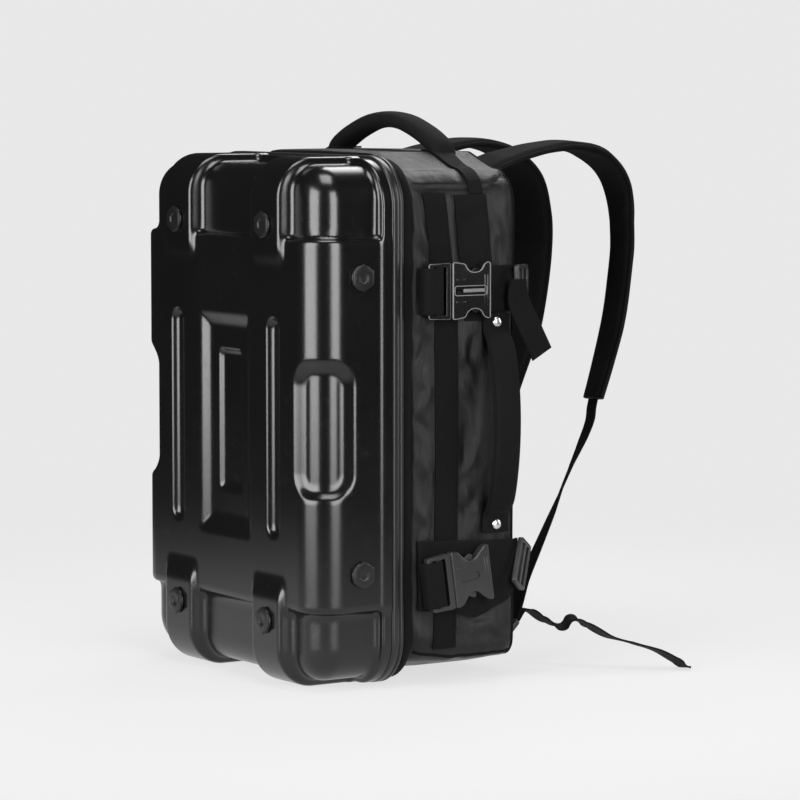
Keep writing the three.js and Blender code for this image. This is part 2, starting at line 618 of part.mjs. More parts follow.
const group = new THREE.Group();
group.position.y = -ORIGIN_BACK;

const add = (name, solid, material) => group.add(piece(name, solid, material));

// A piece of the right side and its mirror image on the left side.
function addPair(name, solid, material) {
  add(`${name}_right`, solid, material);
  add(`${name}_left`, mirrorX(solid), material);
}

// What is sewn flat on the bag.
function addPanels() {
  const strip = (y, width, low, high) => [[y, low], [y + width, low], [y + width, high], [y, high]];
  const [front, back] = [BAG_FRONT + SIDE_WEB_IN, BAG_FRONT + SIDE_WEB_IN + SIDE_WEB_WIDTH];
  const [bend, high] = [BAG_TOP - SIDE_WEB_BEND, BAG_TOP - SIDE_WEB_DROP];
  const web = [[front, SIDE_WEB_LOW], [back, SIDE_WEB_LOW], [back, bend], [back - SIDE_WEB_LEAN, high],
    [front - SIDE_WEB_LEAN, high], [front, bend]];
  addPair("side_webbing", sidePatch(web, WEB_THICK), MATERIALS.webbing);
  const under = BAG_TOP - TAB_DROP - GAP;
  const panel = strip(BAG_FRONT + SIDE_PANEL_IN, SIDE_PANEL_WIDTH, under - SIDE_PANEL_LENGTH, under);
  addPair("side_panel", sidePatch(panel, WEB_THICK), MATERIALS.padding);
  const tab = bagForm(LAYER).subtract(bagForm(GAP));
  const middle = BAG_BACK - TOP_HANDLE_IN;
  const place = box(TOP_HANDLE_HALF - TAB_INSIDE, WIDTH, middle - TAB_WIDTH / 2, middle + TAB_WIDTH / 2,
    BAG_TOP - TAB_DROP, BAG_TOP + PAST);
  addPair("handle_tab", tab.intersect(place), MATERIALS.webbing);
}

// The short tail that hangs from the upper slider. Each row: how far out it lies as a share of the slider's
// length, and how far back of the slider and down as shares of its own length.
const SHORT_TAIL = [
  { out: 0.46, back: -0.12, down: -0.12, wide: 0.7 },
  { out: 0.46, back: -0.12, down: 0.14 },
  { out: 0.47, back: 0.05, down: 0.49 },
  { out: 0.45, back: 0.25, down: 0.85 },
];

// The wing's outline. Each row: how far back as a share of its length, and how high over its lower buckle's
// middle as a share of its height.
const WING = [
  { back: 0, up: -0.38 },
  { back: 0.31, up: -0.41 },
  { back: 0.53, up: -0.53 },
  { back: 0.85, up: -0.33 },
  { back: 0.99, up: -0.07 },
  { back: 1, up: 0.42 },
  { back: 0.53, up: 0.46 },
  { back: 0, up: 0.5 },
];

// The upper compression strap: webbing from the seam to the back corner, buckle, slider and hanging tail.
function addUpperStrap() {
  const [low, high] = [UPPER_BUCKLE_UP - STRAP_HEIGHT / 2, UPPER_BUCKLE_UP + STRAP_HEIGHT / 2];
  const place = (solid) => solid.translate([0, BUCKLE_BACK, UPPER_BUCKLE_UP]);
  const out = WALL_OUT + 2 * LAYER + GAP;
  const [front, end] = [BAG_FRONT + STRAP_IN, BAG_FRONT + STRAP_IN + STRAP_LENGTH];
  const flat = [[front, low], [end, low], [end, high], [front, high]];
  const under = LAYER + GAP;
  const loop = place(barLoop(out)).subtract(bagForm(under));
  addPair("upper_strap", sidePatch(flat, WEB_THICK, under).add(loop), MATERIALS.webbing);
  addPair("upper_buckle_plug", place(bucklePlug(out)), MATERIALS.buckle);
  addPair("upper_buckle_body", place(buckleBody(out)), MATERIALS.buckle);
  const seat = onCorner(SLIDER_FACING, 2 * LAYER);
  const held = slider(SLIDER_HEIGHT, LOCK_LENGTH).rotate([0, 0, SLIDER_FACING]);
  addPair("upper_slider", held.translate([seat.x, seat.y, UPPER_BUCKLE_UP + 5]), MATERIALS.buckle);
  const rows = SHORT_TAIL.map((row) => ({
    ...row,
    x: seat.x + row.out * LOCK_LENGTH,
    y: seat.y + row.back * SHORT_TAIL_LENGTH,
    z: UPPER_BUCKLE_UP - row.down * SHORT_TAIL_LENGTH,
  }));
  const sizes = { width: SHORT_TAIL_WIDTH, thick: WEB_THICK, along: V(0, 0.87, 0.49), steps: 7 };
  addPair("upper_tail", strap(rows, sizes), MATERIALS.webbing);
}

// The wing at the bottom of each side, its buckle and its slider.
function addLowerStrap() {
  const front = BAG_FRONT + STRAP_IN;
  const wing = WING.map(({ back, up }) => [front + back * WING_LENGTH, LOWER_BUCKLE_UP + up * WING_HEIGHT]);
  addPair("hip_wing", sidePatch(wing, WING_THICK, LAYER + GAP), MATERIALS.padding);
  const above = LAYER + GAP + WING_THICK + GAP;
  const out = WALL_OUT + above + LAYER;
  const turned = (solid) => solid.rotate([LOWER_BUCKLE_TURN, 0, 0]);
  const place = (solid) => turned(solid).translate([0, BUCKLE_BACK, LOWER_BUCKLE_UP]);
  const half = STRAP_HEIGHT / 2;
  const [low, high, end] = [LOWER_BUCKLE_UP - half, LOWER_BUCKLE_UP + half, BUCKLE_BACK + LOOP_BACK + LAYER];
  const short = [[front, low], [end, low], [end, high], [front, high]];
  const loop = place(barLoop(out)).subtract(bagForm(above));
  addPair("hip_strap", sidePatch(short, WEB_THICK, above).add(loop), MATERIALS.webbing);
  addPair("lower_buckle_plug", place(bucklePlug(out)), MATERIALS.buckle);
  addPair("lower_buckle_body", place(buckleBody(out)), MATERIALS.buckle);
  const seat = onCorner(SLIDER_FACING, above - GAP);
  const held = slider(HIP_SLIDER_HEIGHT, LOCK_LENGTH).rotate([-HIP_SLIDER_TILT, 0, 0])
    .rotate([0, 0, SLIDER_FACING]);
  addPair("hip_slider", held.translate([seat.x, seat.y, LOWER_BUCKLE_UP + 8]), MATERIALS.buckle);
}

// The top handle's middle line, from one end to its top. Each row: how far to the side as a share of half its
// span, how high over the bag's top as a share of its rise, and its width and thickness as shares.
const ARCH = [
  { side: -1.05, up: -0.36, wide: 0.9, deep: 0.85 },
  { side: -0.98, up: 0.05, wide: 0.95 },
  { side: -0.8, up: 0.385 },
  { side: -0.56, up: 0.685 },
  { side: -0.3, up: 0.915 },
  { side: 0, up: 1 },
];

// The side handle's middle line, from one flat end to the other. Each row: how far out as a share of its
// rise, how high as a share of the length between its flat ends, and its thickness as a share.
const BOW = [
  { out: 0.075, up: 0, deep: 0.25 },
  { out: 0.5, up: 0.083 },
  { out: 0.88, up: 0.289 },
  { out: 1, up: 0.524 },
  { out: 0.85, up: 0.747 },
  { out: 0.48, up: 0.922 },
  { out: 0.075, up: 1, deep: 0.25 },
];

function addHandles() {
  const otherHalf = ARCH.slice(0, -1).reverse().map((row) => ({ ...row, side: -row.side }));
  const arch = [...ARCH, ...otherHalf].map((row) => ({
    ...row,
    x: row.side * TOP_HANDLE_HALF,
    y: BAG_BACK - TOP_HANDLE_IN,
    z: BAG_TOP + row.up * TOP_HANDLE_RISE,
  }));
  const shape = { along: V(0, 1, 0), steps: 20, padded: true };
  const top = { width: TOP_HANDLE_WIDTH, thick: TOP_HANDLE_THICK, ...shape };
  add("top_handle", strap(arch, top).subtract(bagForm(LAYER + GAP)), MATERIALS.padding);
  const middle = BAG_BACK - SIDE_HANDLE_IN;
  const handleHigh = HEIGHT - SIDE_HANDLE_DROP;
  const between = handleHigh - SIDE_HANDLE_LOW - 2 * SIDE_HANDLE_END;
  const past = SIDE_HANDLE_END / between;
  const flatEnds = [{ ...BOW[0], up: -past }, ...BOW, { ...BOW[0], up: 1 + past }];
  const bow = flatEnds.map((row) => ({
    ...row,
    x: WALL_OUT + row.out * SIDE_HANDLE_RISE,
    y: middle,
    z: SIDE_HANDLE_LOW + SIDE_HANDLE_END + row.up * between,
  }));
  const side = { width: SIDE_HANDLE_WIDTH, thick: SIDE_HANDLE_THICK, ...shape };
  const upperEnd = box(0, WIDTH, 0, WIDTH, handleHigh - SIDE_HANDLE_END, HEIGHT);
  const overPanel = bagForm(LAYER + GAP).intersect(upperEnd);
  const handle = strap(bow, side).subtract(bagForm(GAP)).subtract(overPanel);
  add("side_handle", handle, MATERIALS.padding);
  const out = WALL_OUT + BOW[0].out * SIDE_HANDLE_RISE + (BOW[0].deep / 2) * SIDE_HANDLE_THICK + 2 * GAP;
  const rivets = { low: SIDE_HANDLE_LOW + RIVET_IN, high: handleHigh - RIVET_IN };
  for (const [end, up] of Object.entries(rivets)) {
    const head = new THREE.CylinderGeometry(RIVET_RADIUS * 0.7, RIVET_RADIUS, RIVET_RISE, 16);
    head.rotateZ(-Math.PI / 2).translate(out + RIVET_RISE / 2, middle, up);
    add(`side_handle_rivet_${end}`, toSolid(head), MATERIALS.rivet);
  }
}

// A shoulder pad's middle line. Each row: how far behind the bag as a share of its reach, how high as a share
// of the bag's height, and how many degrees it is turned.
const PAD = [
  { back: -0.07, up: 0.952 },
  { back: 0.04, up: 0.974 },
  { back: 0.17, up: 0.99 },
  { back: 0.37, up: 1.006 },
  { back: 0.58, up: 1.014 },
  { back: 0.78, up: 0.998 },
  { back: 0.94, up: 0.944, twist: 8 },
  { back: 0.99, up: 0.86, twist: 16 },
  { back: 0.985, up: 0.78, twist: 17 },
  { back: 0.92, up: 0.644, twist: 17 },
  { back: 0.8, up: 0.51, twist: 17, wide: 0.8 },
];

// The webbing from a pad's end to its ladder lock. Each row: how far it has gone across, down and inwards, as
// shares of the way between them.
const DROP = [
  { across: 0, down: 0, inward: 0, twist: 17 },
  { across: 0.01, down: 0.04, inward: 0.018, twist: 17 },
  { across: 0.07, down: 0.1, inward: 0.045, twist: 18 },
  { across: 0.18, down: 0.19, inward: 0.135, twist: 20 },
  { across: 0.32, down: 0.32, inward: 0.285, twist: 30 },
  { across: 0.43, down: 0.43, inward: 0.405, twist: 33 },
  { across: 0.54, down: 0.54, inward: 0.52, twist: 24 },
  { across: 0.69, down: 0.69, inward: 0.685, twist: 18 },
  { across: 0.84, down: 0.84, inward: 0.855, twist: 10 },
  { across: 0.99, down: 0.94, inward: 0.955 },
  { across: 1, down: 1, inward: 1 },
];

// The tab that holds a ladder lock, down the bag's back and out to the lock. Each row: how far it stands off
// the bag as a share of the lock's distance, and how high over the lock as a share of both their lengths.
const LOCK_TAB = [
  { back: 0, up: 1 },
  { back: 0, up: 0.5 },
  { back: 0.2, up: 0.2 },
  { back: 0.53, up: 0.06 },
];

// The loose tail, from its ladder lock to its end on the floor. Each row: how far out from the lock and how
// far back from it as shares of its reach, and how high over the floor as a share of the lock's upper end.
const TAIL = [
  { out: 0, back: 0.011, up: 0.96 },
  { out: 0, back: 0.07, up: 1.17 },
  { out: 0.02, back: 0.13, up: 1.12 },
  { out: 0.12, back: 0.2, up: 0.95 },
  { out: 0.23, back: 0.26, up: 0.86 },
  { out: 0.34, back: 0.32, up: 0.96 },
  { out: 0.42, back: 0.375, up: 0.875 },
  { out: 0.55, back: 0.48, up: 0.65 },
  { out: 0.68, back: 0.6, up: 0.515 },
  { out: 0.82, back: 0.715, up: 0.37 },
  { out: 0.91, back: 0.8, up: 0.19 },
  { out: 0.96, back: 0.845, up: 0.075 },
  { out: 1, back: 0.88, up: 0.035 },
];

// A padded shoulder strap, the webbing below it, its ladder lock and the loose tail that reaches the floor.
function addShoulderStrap(side, sign) {
  const across = V(sign, 0, 0);
  const turned = (row) => ({ ...row, x: sign * row.x, twist: sign * (row.twist ?? 0) });
  const pad = PAD.map((row) =>
    turned({ ...row, x: PAD_OUT, y: BAG_BACK + row.back * PAD_REACH, z: row.up * HEIGHT }));
  const padSizes = { width: PAD_WIDTH, thick: PAD_THICK, along: across, steps: 21, padded: true };
  add(`shoulder_pad_${side}`, strap(pad, padSizes).subtract(bagForm(GAP)), MATERIALS.padding);
  const start = PAD.at(-1).up * HEIGHT - 2 * GAP;
  const sizes = { width: LOWER_WEB_WIDTH, thick: WEB_THICK, along: across, steps: 18 };
  const end = (LOCK_LENGTH / 2 + 4 * GAP) * Math.SQRT1_2;
  const lockEnd = V(LOCK_OUT, BAG_BACK + LOCK_BEHIND + end, LOCK_UP + end);
  const drop = DROP.map((row) => turned({
    ...row,
    x: mix(PAD_OUT, lockEnd.x, row.across),
    y: mix(BAG_BACK + PAD.at(-1).back * PAD_REACH, lockEnd.y, row.inward),
    z: mix(start, lockEnd.z, row.down),
  }));
  add(`shoulder_webbing_${side}`, strap(drop, sizes), MATERIALS.webbing);
  const flat = slider(SHOULDER_LOCK_WIDTH, LOCK_LENGTH).translate([-LOCK_THICK / 2, 0, 0]).rotate([0, 90, 0]);
  const lean = flat.rotate([45, 0, 0]);
  const lock = lean.translate([sign * LOCK_OUT, BAG_BACK + LOCK_BEHIND, LOCK_UP]);
  add(`ladder_lock_${side}`, lock, MATERIALS.buckle);
  const reach = LOCK_LENGTH + LOCK_BEHIND;
  const anchor = LOCK_TAB.map((row) => turned({
    x: LOCK_OUT,
    y: BAG_BACK + GAP + WEB_THICK / 2 + row.back * LOCK_BEHIND,
    z: LOCK_UP + row.up * reach,
  }));
  add(`lock_tab_${side}`, strap(anchor, { ...sizes, steps: 8 }), MATERIALS.webbing);
  const tail = TAIL.map((row) => turned({
    ...row,
    x: lockEnd.x + row.out * TAIL_OUT,
    y: lockEnd.y + row.back * TAIL_REACH,
    z: row.up * lockEnd.z,
  }));
  add(`strap_tail_${side}`, strap(tail, { ...sizes, steps: 24 }), MATERIALS.webbing);
}

add("hard_shell", hardShell(), MATERIALS.shell);
addBolts();
add("rim_frame", rimRing(0, RIM_THICK, RIM_FRONT, RIM_BACK, RIM_BEVEL), MATERIALS.rim);
const bindingBack = BINDING_FRONT + BINDING_DEPTH;
const binding = rimRing(BINDING_IN, BINDING_THICK, BINDING_FRONT, bindingBack, BINDING_ROUND);
add("edge_binding", binding, MATERIALS.webbing);
add("bag_body", bagBody(), MATERIALS.ripstop);
addPanels();
addUpperStrap();
addLowerStrap();
addHandles();
addShoulderStrap("right", 1);
addShoulderStrap("left", -1);
export default group;
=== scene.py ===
"""A hard shell backpack: a moulded shell on a rim frame, a soft bag behind it, handles, buckles and straps.

Sizes are in millimetres, counted from the shell's front face (y), the floor (z) and the bag's middle (x).
"""

import json
import logging
import math
from dataclasses import dataclass
from enum import Enum
from typing import Callable, Optional, Sequence, Union

import bpy
import numpy as np
from mathutils import Matrix, Vector
from mathutils.bvhtree import BVHTree

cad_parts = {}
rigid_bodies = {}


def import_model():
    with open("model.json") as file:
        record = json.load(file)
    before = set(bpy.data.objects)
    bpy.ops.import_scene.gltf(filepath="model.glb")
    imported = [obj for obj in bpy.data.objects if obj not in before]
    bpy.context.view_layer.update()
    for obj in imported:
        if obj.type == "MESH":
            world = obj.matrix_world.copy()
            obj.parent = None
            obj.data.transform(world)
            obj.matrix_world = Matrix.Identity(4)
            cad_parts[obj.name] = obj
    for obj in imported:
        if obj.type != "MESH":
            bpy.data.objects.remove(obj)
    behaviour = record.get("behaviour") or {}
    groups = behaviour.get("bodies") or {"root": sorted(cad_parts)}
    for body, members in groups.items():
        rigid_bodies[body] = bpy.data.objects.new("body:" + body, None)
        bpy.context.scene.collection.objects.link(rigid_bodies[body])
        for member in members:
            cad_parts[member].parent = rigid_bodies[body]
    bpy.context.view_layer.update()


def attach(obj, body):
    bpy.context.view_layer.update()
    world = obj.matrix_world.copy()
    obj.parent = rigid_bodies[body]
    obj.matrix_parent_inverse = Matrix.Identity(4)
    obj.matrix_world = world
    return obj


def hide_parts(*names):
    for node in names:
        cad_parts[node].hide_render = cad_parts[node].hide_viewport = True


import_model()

log = logging.getLogger("backpack")

WIDTH = 330.0
HEIGHT = 500.0
HALF = WIDTH / 2
BAG_FRONT = 108.9
BAG_DEPTH = 126.4
BAG_BACK = BAG_FRONT + BAG_DEPTH
ORIGIN_BACK = BAG_FRONT + 0.4 * BAG_DEPTH
GAP = 0.3
WEB_THICK = 1.6

Edges = Callable[[float], tuple[tuple[float, float], tuple[float, float]]]


def metres(points: np.ndarray) -> np.ndarray:
    """Turns millimetres counted from the shell's front into the part's own metres."""
    return (np.asarray(points, float) - (0.0, ORIGIN_BACK, 0.0)) * 0.001


def unit(vectors: np.ndarray) -> np.ndarray:
    """Scales each vector to a length of one."""
    length = np.linalg.norm(vectors, axis=-1, keepdims=True)
    return vectors / np.maximum(length, 1e-9)


def moved_to(x: float, y: float, z: float) -> Matrix:
    """A move from the origin to a place in millimetres."""
    return Matrix.Translation(Vector(metres(np.array([x, y, z]))))


def outwards(distance: float) -> Matrix:
    """A move along X, in millimetres."""
    return Matrix.Translation((distance * 0.001, 0, 0))


def turned(degrees: float, axis: str) -> Matrix:
    """A turn about one axis."""
    return Matrix.Rotation(math.radians(degrees), 4, axis)


# Workbench: the modelling operations


class Bench:
    """The modelling tools that every sub-assembly shares."""

    @staticmethod
    def only(piece: bpy.types.Object) -> bpy.types.Object:
        """Selects one object alone and makes it active.

        Args:
            piece: the object to select.

        Returns:
            The same object.
        """
        for other in bpy.context.view_layer.objects:
            other.select_set(False)
        piece.select_set(True)
        bpy.context.view_layer.objects.active = piece
        return piece

    @classmethod
    def named(cls, name: str) -> bpy.types.Object:
        """Names the primitive that was just added and puts its place into its mesh.

        Args:
            name: the piece's name.

        Returns:
            The named object.
        """
        piece = bpy.context.active_object
        piece.name = name
        piece.data.name = name
        bpy.ops.object.transform_apply(location=True, rotation=True, scale=True)
        return piece

    @classmethod
    def clear(cls) -> None:
        """Deselects everything, so that the next operator acts on new work alone."""
        for other in bpy.context.view_layer.objects:
            other.select_set(False)

    @classmethod
    def block(cls, name: str, low: Sequence[float], high: Sequence[float]) -> bpy.types.Object:
        """Adds a block between two corners.

        Args:
            name: the piece's name.
            low: the lowest corner in millimetres.
            high: the highest corner in millimetres.

        Returns:
            The new object.
        """
        cls.clear()
        corners = metres(np.array([low, high]))
        bpy.ops.mesh.primitive_cube_add(
            size=1, location=corners.mean(0), scale=np.abs(corners[1] - corners[0])
        )
        return cls.named(name)

    @classmethod
    def plate(
        cls, name: str, outline: Sequence[tuple[float, float]], thick: float
    ) -> bpy.types.Object:
        """Cuts a plate to an outline: a disc whose rim points are moved to it, then extruded.

        Args:
            name: the piece's name.
            outline: its outline as (back, up) points in millimetres.
            thick: its thickness in millimetres, outwards along X from zero.

        Returns:
            The new object, still at its own zero.
        """
        cls.clear()
        bpy.ops.mesh.primitive_circle_add(vertices=len(outline), radius=1, fill_type="NGON")
        piece = cls.named(name)
        for vertex, (y, z) in zip(piece.data.vertices, outline):
            vertex.co = (0.0, y * 0.001, z * 0.001)
        bpy.ops.object.mode_set(mode="EDIT")
        bpy.ops.mesh.select_all(action="SELECT")
        bpy.ops.mesh.extrude_region_move(TRANSFORM_OT_translate={"value": (thick * 0.001, 0, 0)})
        bpy.ops.object.mode_set(mode="OBJECT")
        return cls.outward(piece)

    @classmethod
    def modify(cls, piece: bpy.types.Object, kind: str, **settings: object) -> bpy.types.Object:
        """Adds a modifier and applies it.

        Args:
            piece: the object to change.
            kind: the modifier's type.
            settings: the modifier's settings.

        Returns:
            The same object.
        """
        cls.only(piece)
        modifier = piece.modifiers.new(kind.title(), kind)
        for key, value in settings.items():
            setattr(modifier, key, value)
        bpy.ops.object.modifier_apply(modifier=modifier.name)
        return piece

    @classmethod
    def bevel(cls, piece: bpy.types.Object, width: float, steps: int = 3) -> bpy.types.Object:
        """Rounds a piece's sharp edges."""
        return cls.modify(
            piece, "BEVEL", width=width * 0.001, segments=steps, limit_method="ANGLE", angle_limit=0.6,
            use_clamp_overlap=True, harden_normals=False,
        )

    @classmethod
    def carve(cls, piece: bpy.types.Object, cutter: bpy.types.Object) -> bpy.types.Object:
        """Cuts one piece out of another and deletes the cutter."""
        cls.modify(piece, "BOOLEAN", operation="DIFFERENCE", object=cutter, solver="EXACT")
        bpy.data.objects.remove(cutter)
        return piece

    @classmethod
    def join(cls, name: str, pieces: Sequence[bpy.types.Object]) -> bpy.types.Object:
        """Joins several objects into one.

        Args:
            name: the joined piece's name.
            pieces: the objects.

        Returns:
            The joined object.
        """
        cls.only(pieces[0])
        for piece in pieces[1:]:
            piece.select_set(True)
        if len(pieces) > 1:
            bpy.ops.object.join()
        joined = bpy.context.view_layer.objects.active
        joined.name = name
        joined.data.name = name
        return joined

    @classmethod
    def move(cls, piece: bpy.types.Object, matrix: Matrix) -> bpy.types.Object:
        """Moves a piece's mesh, leaving its object at the origin.

        Args:
            piece: the object to move.
            matrix: how it moves, in metres.

        Returns:
            The same object.
        """
        piece.data.transform(matrix)
        if matrix.determinant() < 0:
            cls.outward(piece)
        piece.data.update()
        return piece

    @classmethod
    def outward(cls, piece: bpy.types.Object) -> bpy.types.Object:
        """Turns a closed piece's faces outwards.

        Args:
            piece: the object.

        Returns:
            The same object.
        """
        cls.only(piece)
        bpy.ops.object.mode_set(mode="EDIT")
        bpy.ops.mesh.select_all(action="SELECT")
        bpy.ops.mesh.normals_make_consistent(inside=False)
        bpy.ops.object.mode_set(mode="OBJECT")
        return piece

    @classmethod
    def mirrored(cls, piece: bpy.types.Object, name: str) -> bpy.types.Object:
        """Copies a piece to the other side of the bag.

        Args:
            piece: the object on the right side.
            name: the copy's name.

        Returns:
            The copy, with a mesh of its own.
        """
        copy = piece.copy()
        copy.data = piece.data.copy()
        copy.name = name
        copy.data.name = name
        bpy.context.scene.collection.objects.link(copy)
        return cls.move(copy, Matrix.Scale(-1, 4, (1, 0, 0)))

    @classmethod
    def smooth(cls, piece: bpy.types.Object, angle: float = 40.0) -> bpy.types.Object:
        """Shades a piece smoothly but for its sharp edges."""
        cls.only(piece)
        bpy.ops.object.shade_smooth_by_angle(angle=math.radians(angle))
        return piece

    @classmethod
    def grid(
        cls, name: str, points: np.ndarray, closed: bool, capped: bool, looped: bool = False
    ) -> bpy.types.Object:
        """Lays a grid primitive over rows of points, with a UV map in metres.

        Args:
            name: the piece's name.
            points: an array of rows by columns by three, in millimetres.
            closed: True where each row closes on itself, with its last point equal to its first.
            capped: True where the open ends are filled.
            looped: True where the last row meets the first.

        Returns:
            The new object.
        """
        rows, columns = points.shape[:2]
        cls.clear()
        bpy.ops.mesh.primitive_grid_add(
            x_subdivisions=columns - 1, y_subdivisions=rows - 1, size=1, calc_uvs=True
        )
        piece = cls.named(name)
        piece.data.vertices.foreach_set("co", metres(points).reshape(-1))
        across = np.linalg.norm(np.diff(points, axis=1), axis=2).sum(1).max() * 0.001
        along = np.linalg.norm(np.diff(points, axis=0), axis=2).sum(0).mean() * 0.001
        layer = piece.data.uv_layers.active
        flat = np.zeros(len(layer.uv) * 2, np.float32)
        layer.uv.foreach_get("vector", flat)
        scaled = flat.reshape(-1, 2) * (across, along)
        layer.uv.foreach_set("vector", scaled.astype(np.float32).reshape(-1))
        bpy.ops.object.mode_set(mode="EDIT")
        bpy.ops.mesh.select_all(action="SELECT")
        if closed or looped:
            bpy.ops.mesh.remove_doubles(threshold=1e-6)
        if capped:
            bpy.ops.mesh.select_all(action="SELECT")
            bpy.ops.mesh.fill_holes(sides=0)
        bpy.ops.object.mode_set(mode="OBJECT")
        cls.outward(piece)
        for polygon in piece.data.polygons:
            polygon.use_smooth = True
        piece.data.update()
        return piece

    @classmethod
    def cord(
        cls, name: str, path: np.ndarray, first: np.ndarray, second: np.ndarray, radius: float, looped: bool
    ) -> bpy.types.Object:
        """Lays a thin round cord along a path.

        Args:
            name: the cord's name.
            path: its middle line in millimetres.
            first: a direction across the cord, at each point.
            second: the direction square to that and to the path.
            radius: its radius in millimetres.
            looped: True where the path ends where it starts.

        Returns:
            The cord.
        """
        turn = np.radians(np.linspace(0, 360, 9))[None, :, None]
        rings = path[:, None] + radius * (np.cos(turn) * first[:, None] + np.sin(turn) * second[:, None])
        rings[:, -1] = rings[:, 0]
        if looped:
            rings[-1] = rings[0]
        return cls.grid(name, rings, closed=True, capped=not looped, looped=looped)


# Shader maths


class Wire:
    """A shader socket whose values can be reckoned with like numbers."""

    def __init__(self, tree: bpy.types.NodeTree, socket: bpy.types.NodeSocket) -> None:
        """Wraps a socket."""
        self.tree = tree
        self.socket = socket

    def maths(self, operation: str, *values: Union["Wire", float]) -> "Wire":
        """Adds a Math node.

        Args:
            operation: the node's operation.
            values: its inputs.

        Returns:
            Its result.
        """
        node = self.tree.nodes.new("ShaderNodeMath")
        node.operation = operation
        for socket, value in zip(node.inputs, values):
            if isinstance(value, Wire):
                self.tree.links.new(value.socket, socket)
            else:
                socket.default_value = value
        return Wire(self.tree, node.outputs[0])

    def __add__(self, other: Union["Wire", float]) -> "Wire":
        """Adds."""
        return self.maths("ADD", self, other)

    __radd__ = __add__

    def __sub__(self, other: Union["Wire", float]) -> "Wire":
        """Subtracts."""
        return self.maths("SUBTRACT", self, other)

    def __rsub__(self, other: float) -> "Wire":
        """Subtracts from a number."""
        return self.maths("SUBTRACT", other, self)

    def __mul__(self, other: Union["Wire", float]) -> "Wire":
        """Multiplies."""
        return self.maths("MULTIPLY", self, other)

    __rmul__ = __mul__

    def __pow__(self, other: float) -> "Wire":
        """Raises to a power."""
        return self.maths("POWER", self, other)

    def sine(self) -> "Wire":
        """The sine."""
        return self.maths("SINE", self)

    def wrap(self, length: float) -> "Wire":
        """The distance from zero to the nearest multiple of a length."""
        return self.maths("PINGPONG", self, length / 2)

    def ramp(self, low: float, high: float) -> "Wire":
        """Nought at low, one at high, smooth between.

        Args:
            low: where it starts to rise.
            high: where it has risen.

        Returns:
            The smooth step.
        """
        node = self.tree.nodes.new("ShaderNodeMapRange")
        node.interpolation_type = "SMOOTHSTEP"
        self.tree.links.new(self.socket, node.inputs["Value"])
        node.inputs["From Min"].default_value = low
        node.inputs["From Max"].default_value = high
        return Wire(self.tree, node.outputs["Result"])


class Shader:
    """One material's node tree."""

    def __init__(self, name: str) -> None:
        """Starts a material with a Principled shader.

        Args:
            name: the material's name.
        """
        self.material = bpy.data.materials.new(name)
        self.material.use_nodes = True
        self.tree = self.material.node_tree
        self.tree.nodes.clear()
        self.main = self.tree.nodes.new("ShaderNodeBsdfPrincipled")
        output = self.tree.nodes.new("ShaderNodeOutputMaterial")
        self.tree.links.new(self.main.outputs[0], output.inputs["Surface"])
        self.place = self.node("ShaderNodeTexCoord")

    def node(
        self, kind: str, settings: Optional[dict] = None, **inputs: object
    ) -> bpy.types.ShaderNode:
        """Adds any node.

        Args:
            kind: the node's type.
            settings: its settings, such as an operation.
            inputs: the values or links of its sockets, with underscores for spaces.

        Returns:
            The node.
        """
        node = self.tree.nodes.new(kind)
        for key, value in (settings or {}).items():
            setattr(node, key, value)
        for key, value in inputs.items():
            self.feed(node.inputs[key.replace("_", " ")], value)
        return node

    def feed(self, socket: bpy.types.NodeSocket, value: object) -> None:
        """Links or sets one socket.

        Args:
            socket: the input socket.
            value: a wire, an output socket or a plain value.
        """
        if isinstance(value, Wire):
            self.tree.links.new(value.socket, socket)
        elif isinstance(value, bpy.types.NodeSocket):
            self.tree.links.new(value, socket)
        else:
            socket.default_value = value

    def wire(self, socket: bpy.types.NodeSocket) -> Wire:
        """Wraps an output socket for maths."""
        return Wire(self.tree, socket)

    def stretched(self, scale: Sequence[float], uv: bool = False) -> bpy.types.NodeSocket:
        """The piece's own coordinates times a scale."""
        source = self.place.outputs["UV" if uv else "Object"]
        return self.node("ShaderNodeMapping", Vector=source, Scale=tuple(scale)).outputs[0]

    def noise(
        self, scale: float, detail: float = 2.0, rough: float = 0.5, where: object = None
    ) -> Wire:
        """A noise pattern.

        Args:
            scale: bumps to the metre.
            detail: how many finer layers it has.
            rough: how strong they are.
            where: coordinates, or None for the piece's own.

        Returns:
            The noise, from nought to one.
        """
        node = self.node(
            "ShaderNodeTexNoise",
            Vector=where or self.place.outputs["Object"],
            Scale=scale,
            Detail=detail,
            Roughness=rough,
        )
        return self.wire(node.outputs[0])

    def across_along(self) -> tuple[Wire, Wire]:
        """The UV map's two directions in metres: across the piece and along it."""
        node = self.node("ShaderNodeSeparateXYZ", Vector=self.place.outputs["UV"])
        return self.wire(node.outputs[0]), self.wire(node.outputs[1])

    def colour(self, dark: Sequence[float], light: Sequence[float], share: Wire) -> None:
        """Mixes the base colour between two.

        Args:
            dark: the colour where the share is nought.
            light: the colour where it is one.
            share: the share.
        """
        node = self.node("ShaderNodeMix", {"data_type": "RGBA"})
        self.feed(node.inputs[0], share)
        self.feed(node.inputs[6], (*dark, 1.0))
        self.feed(node.inputs[7], (*light, 1.0))
        self.feed(self.main.inputs["Base Color"], node.outputs[2])

    def bump(
        self, height: Wire, depth: float, strength: float = 1.0, below: object = None
    ) -> bpy.types.NodeSocket:
        """Raises the surface by a pattern."""
        node = self.node("ShaderNodeBump", Height=height, Distance=depth, Strength=strength)
        if below is not None:
            self.feed(node.inputs["Normal"], below)
        return node.outputs[0]

    def finish(self, **inputs: object) -> bpy.types.Material:
        """Sets the main shader's sockets."""
        for key, value in inputs.items():
            self.feed(self.main.inputs[key.replace("_", " ")], value)
        return self.material


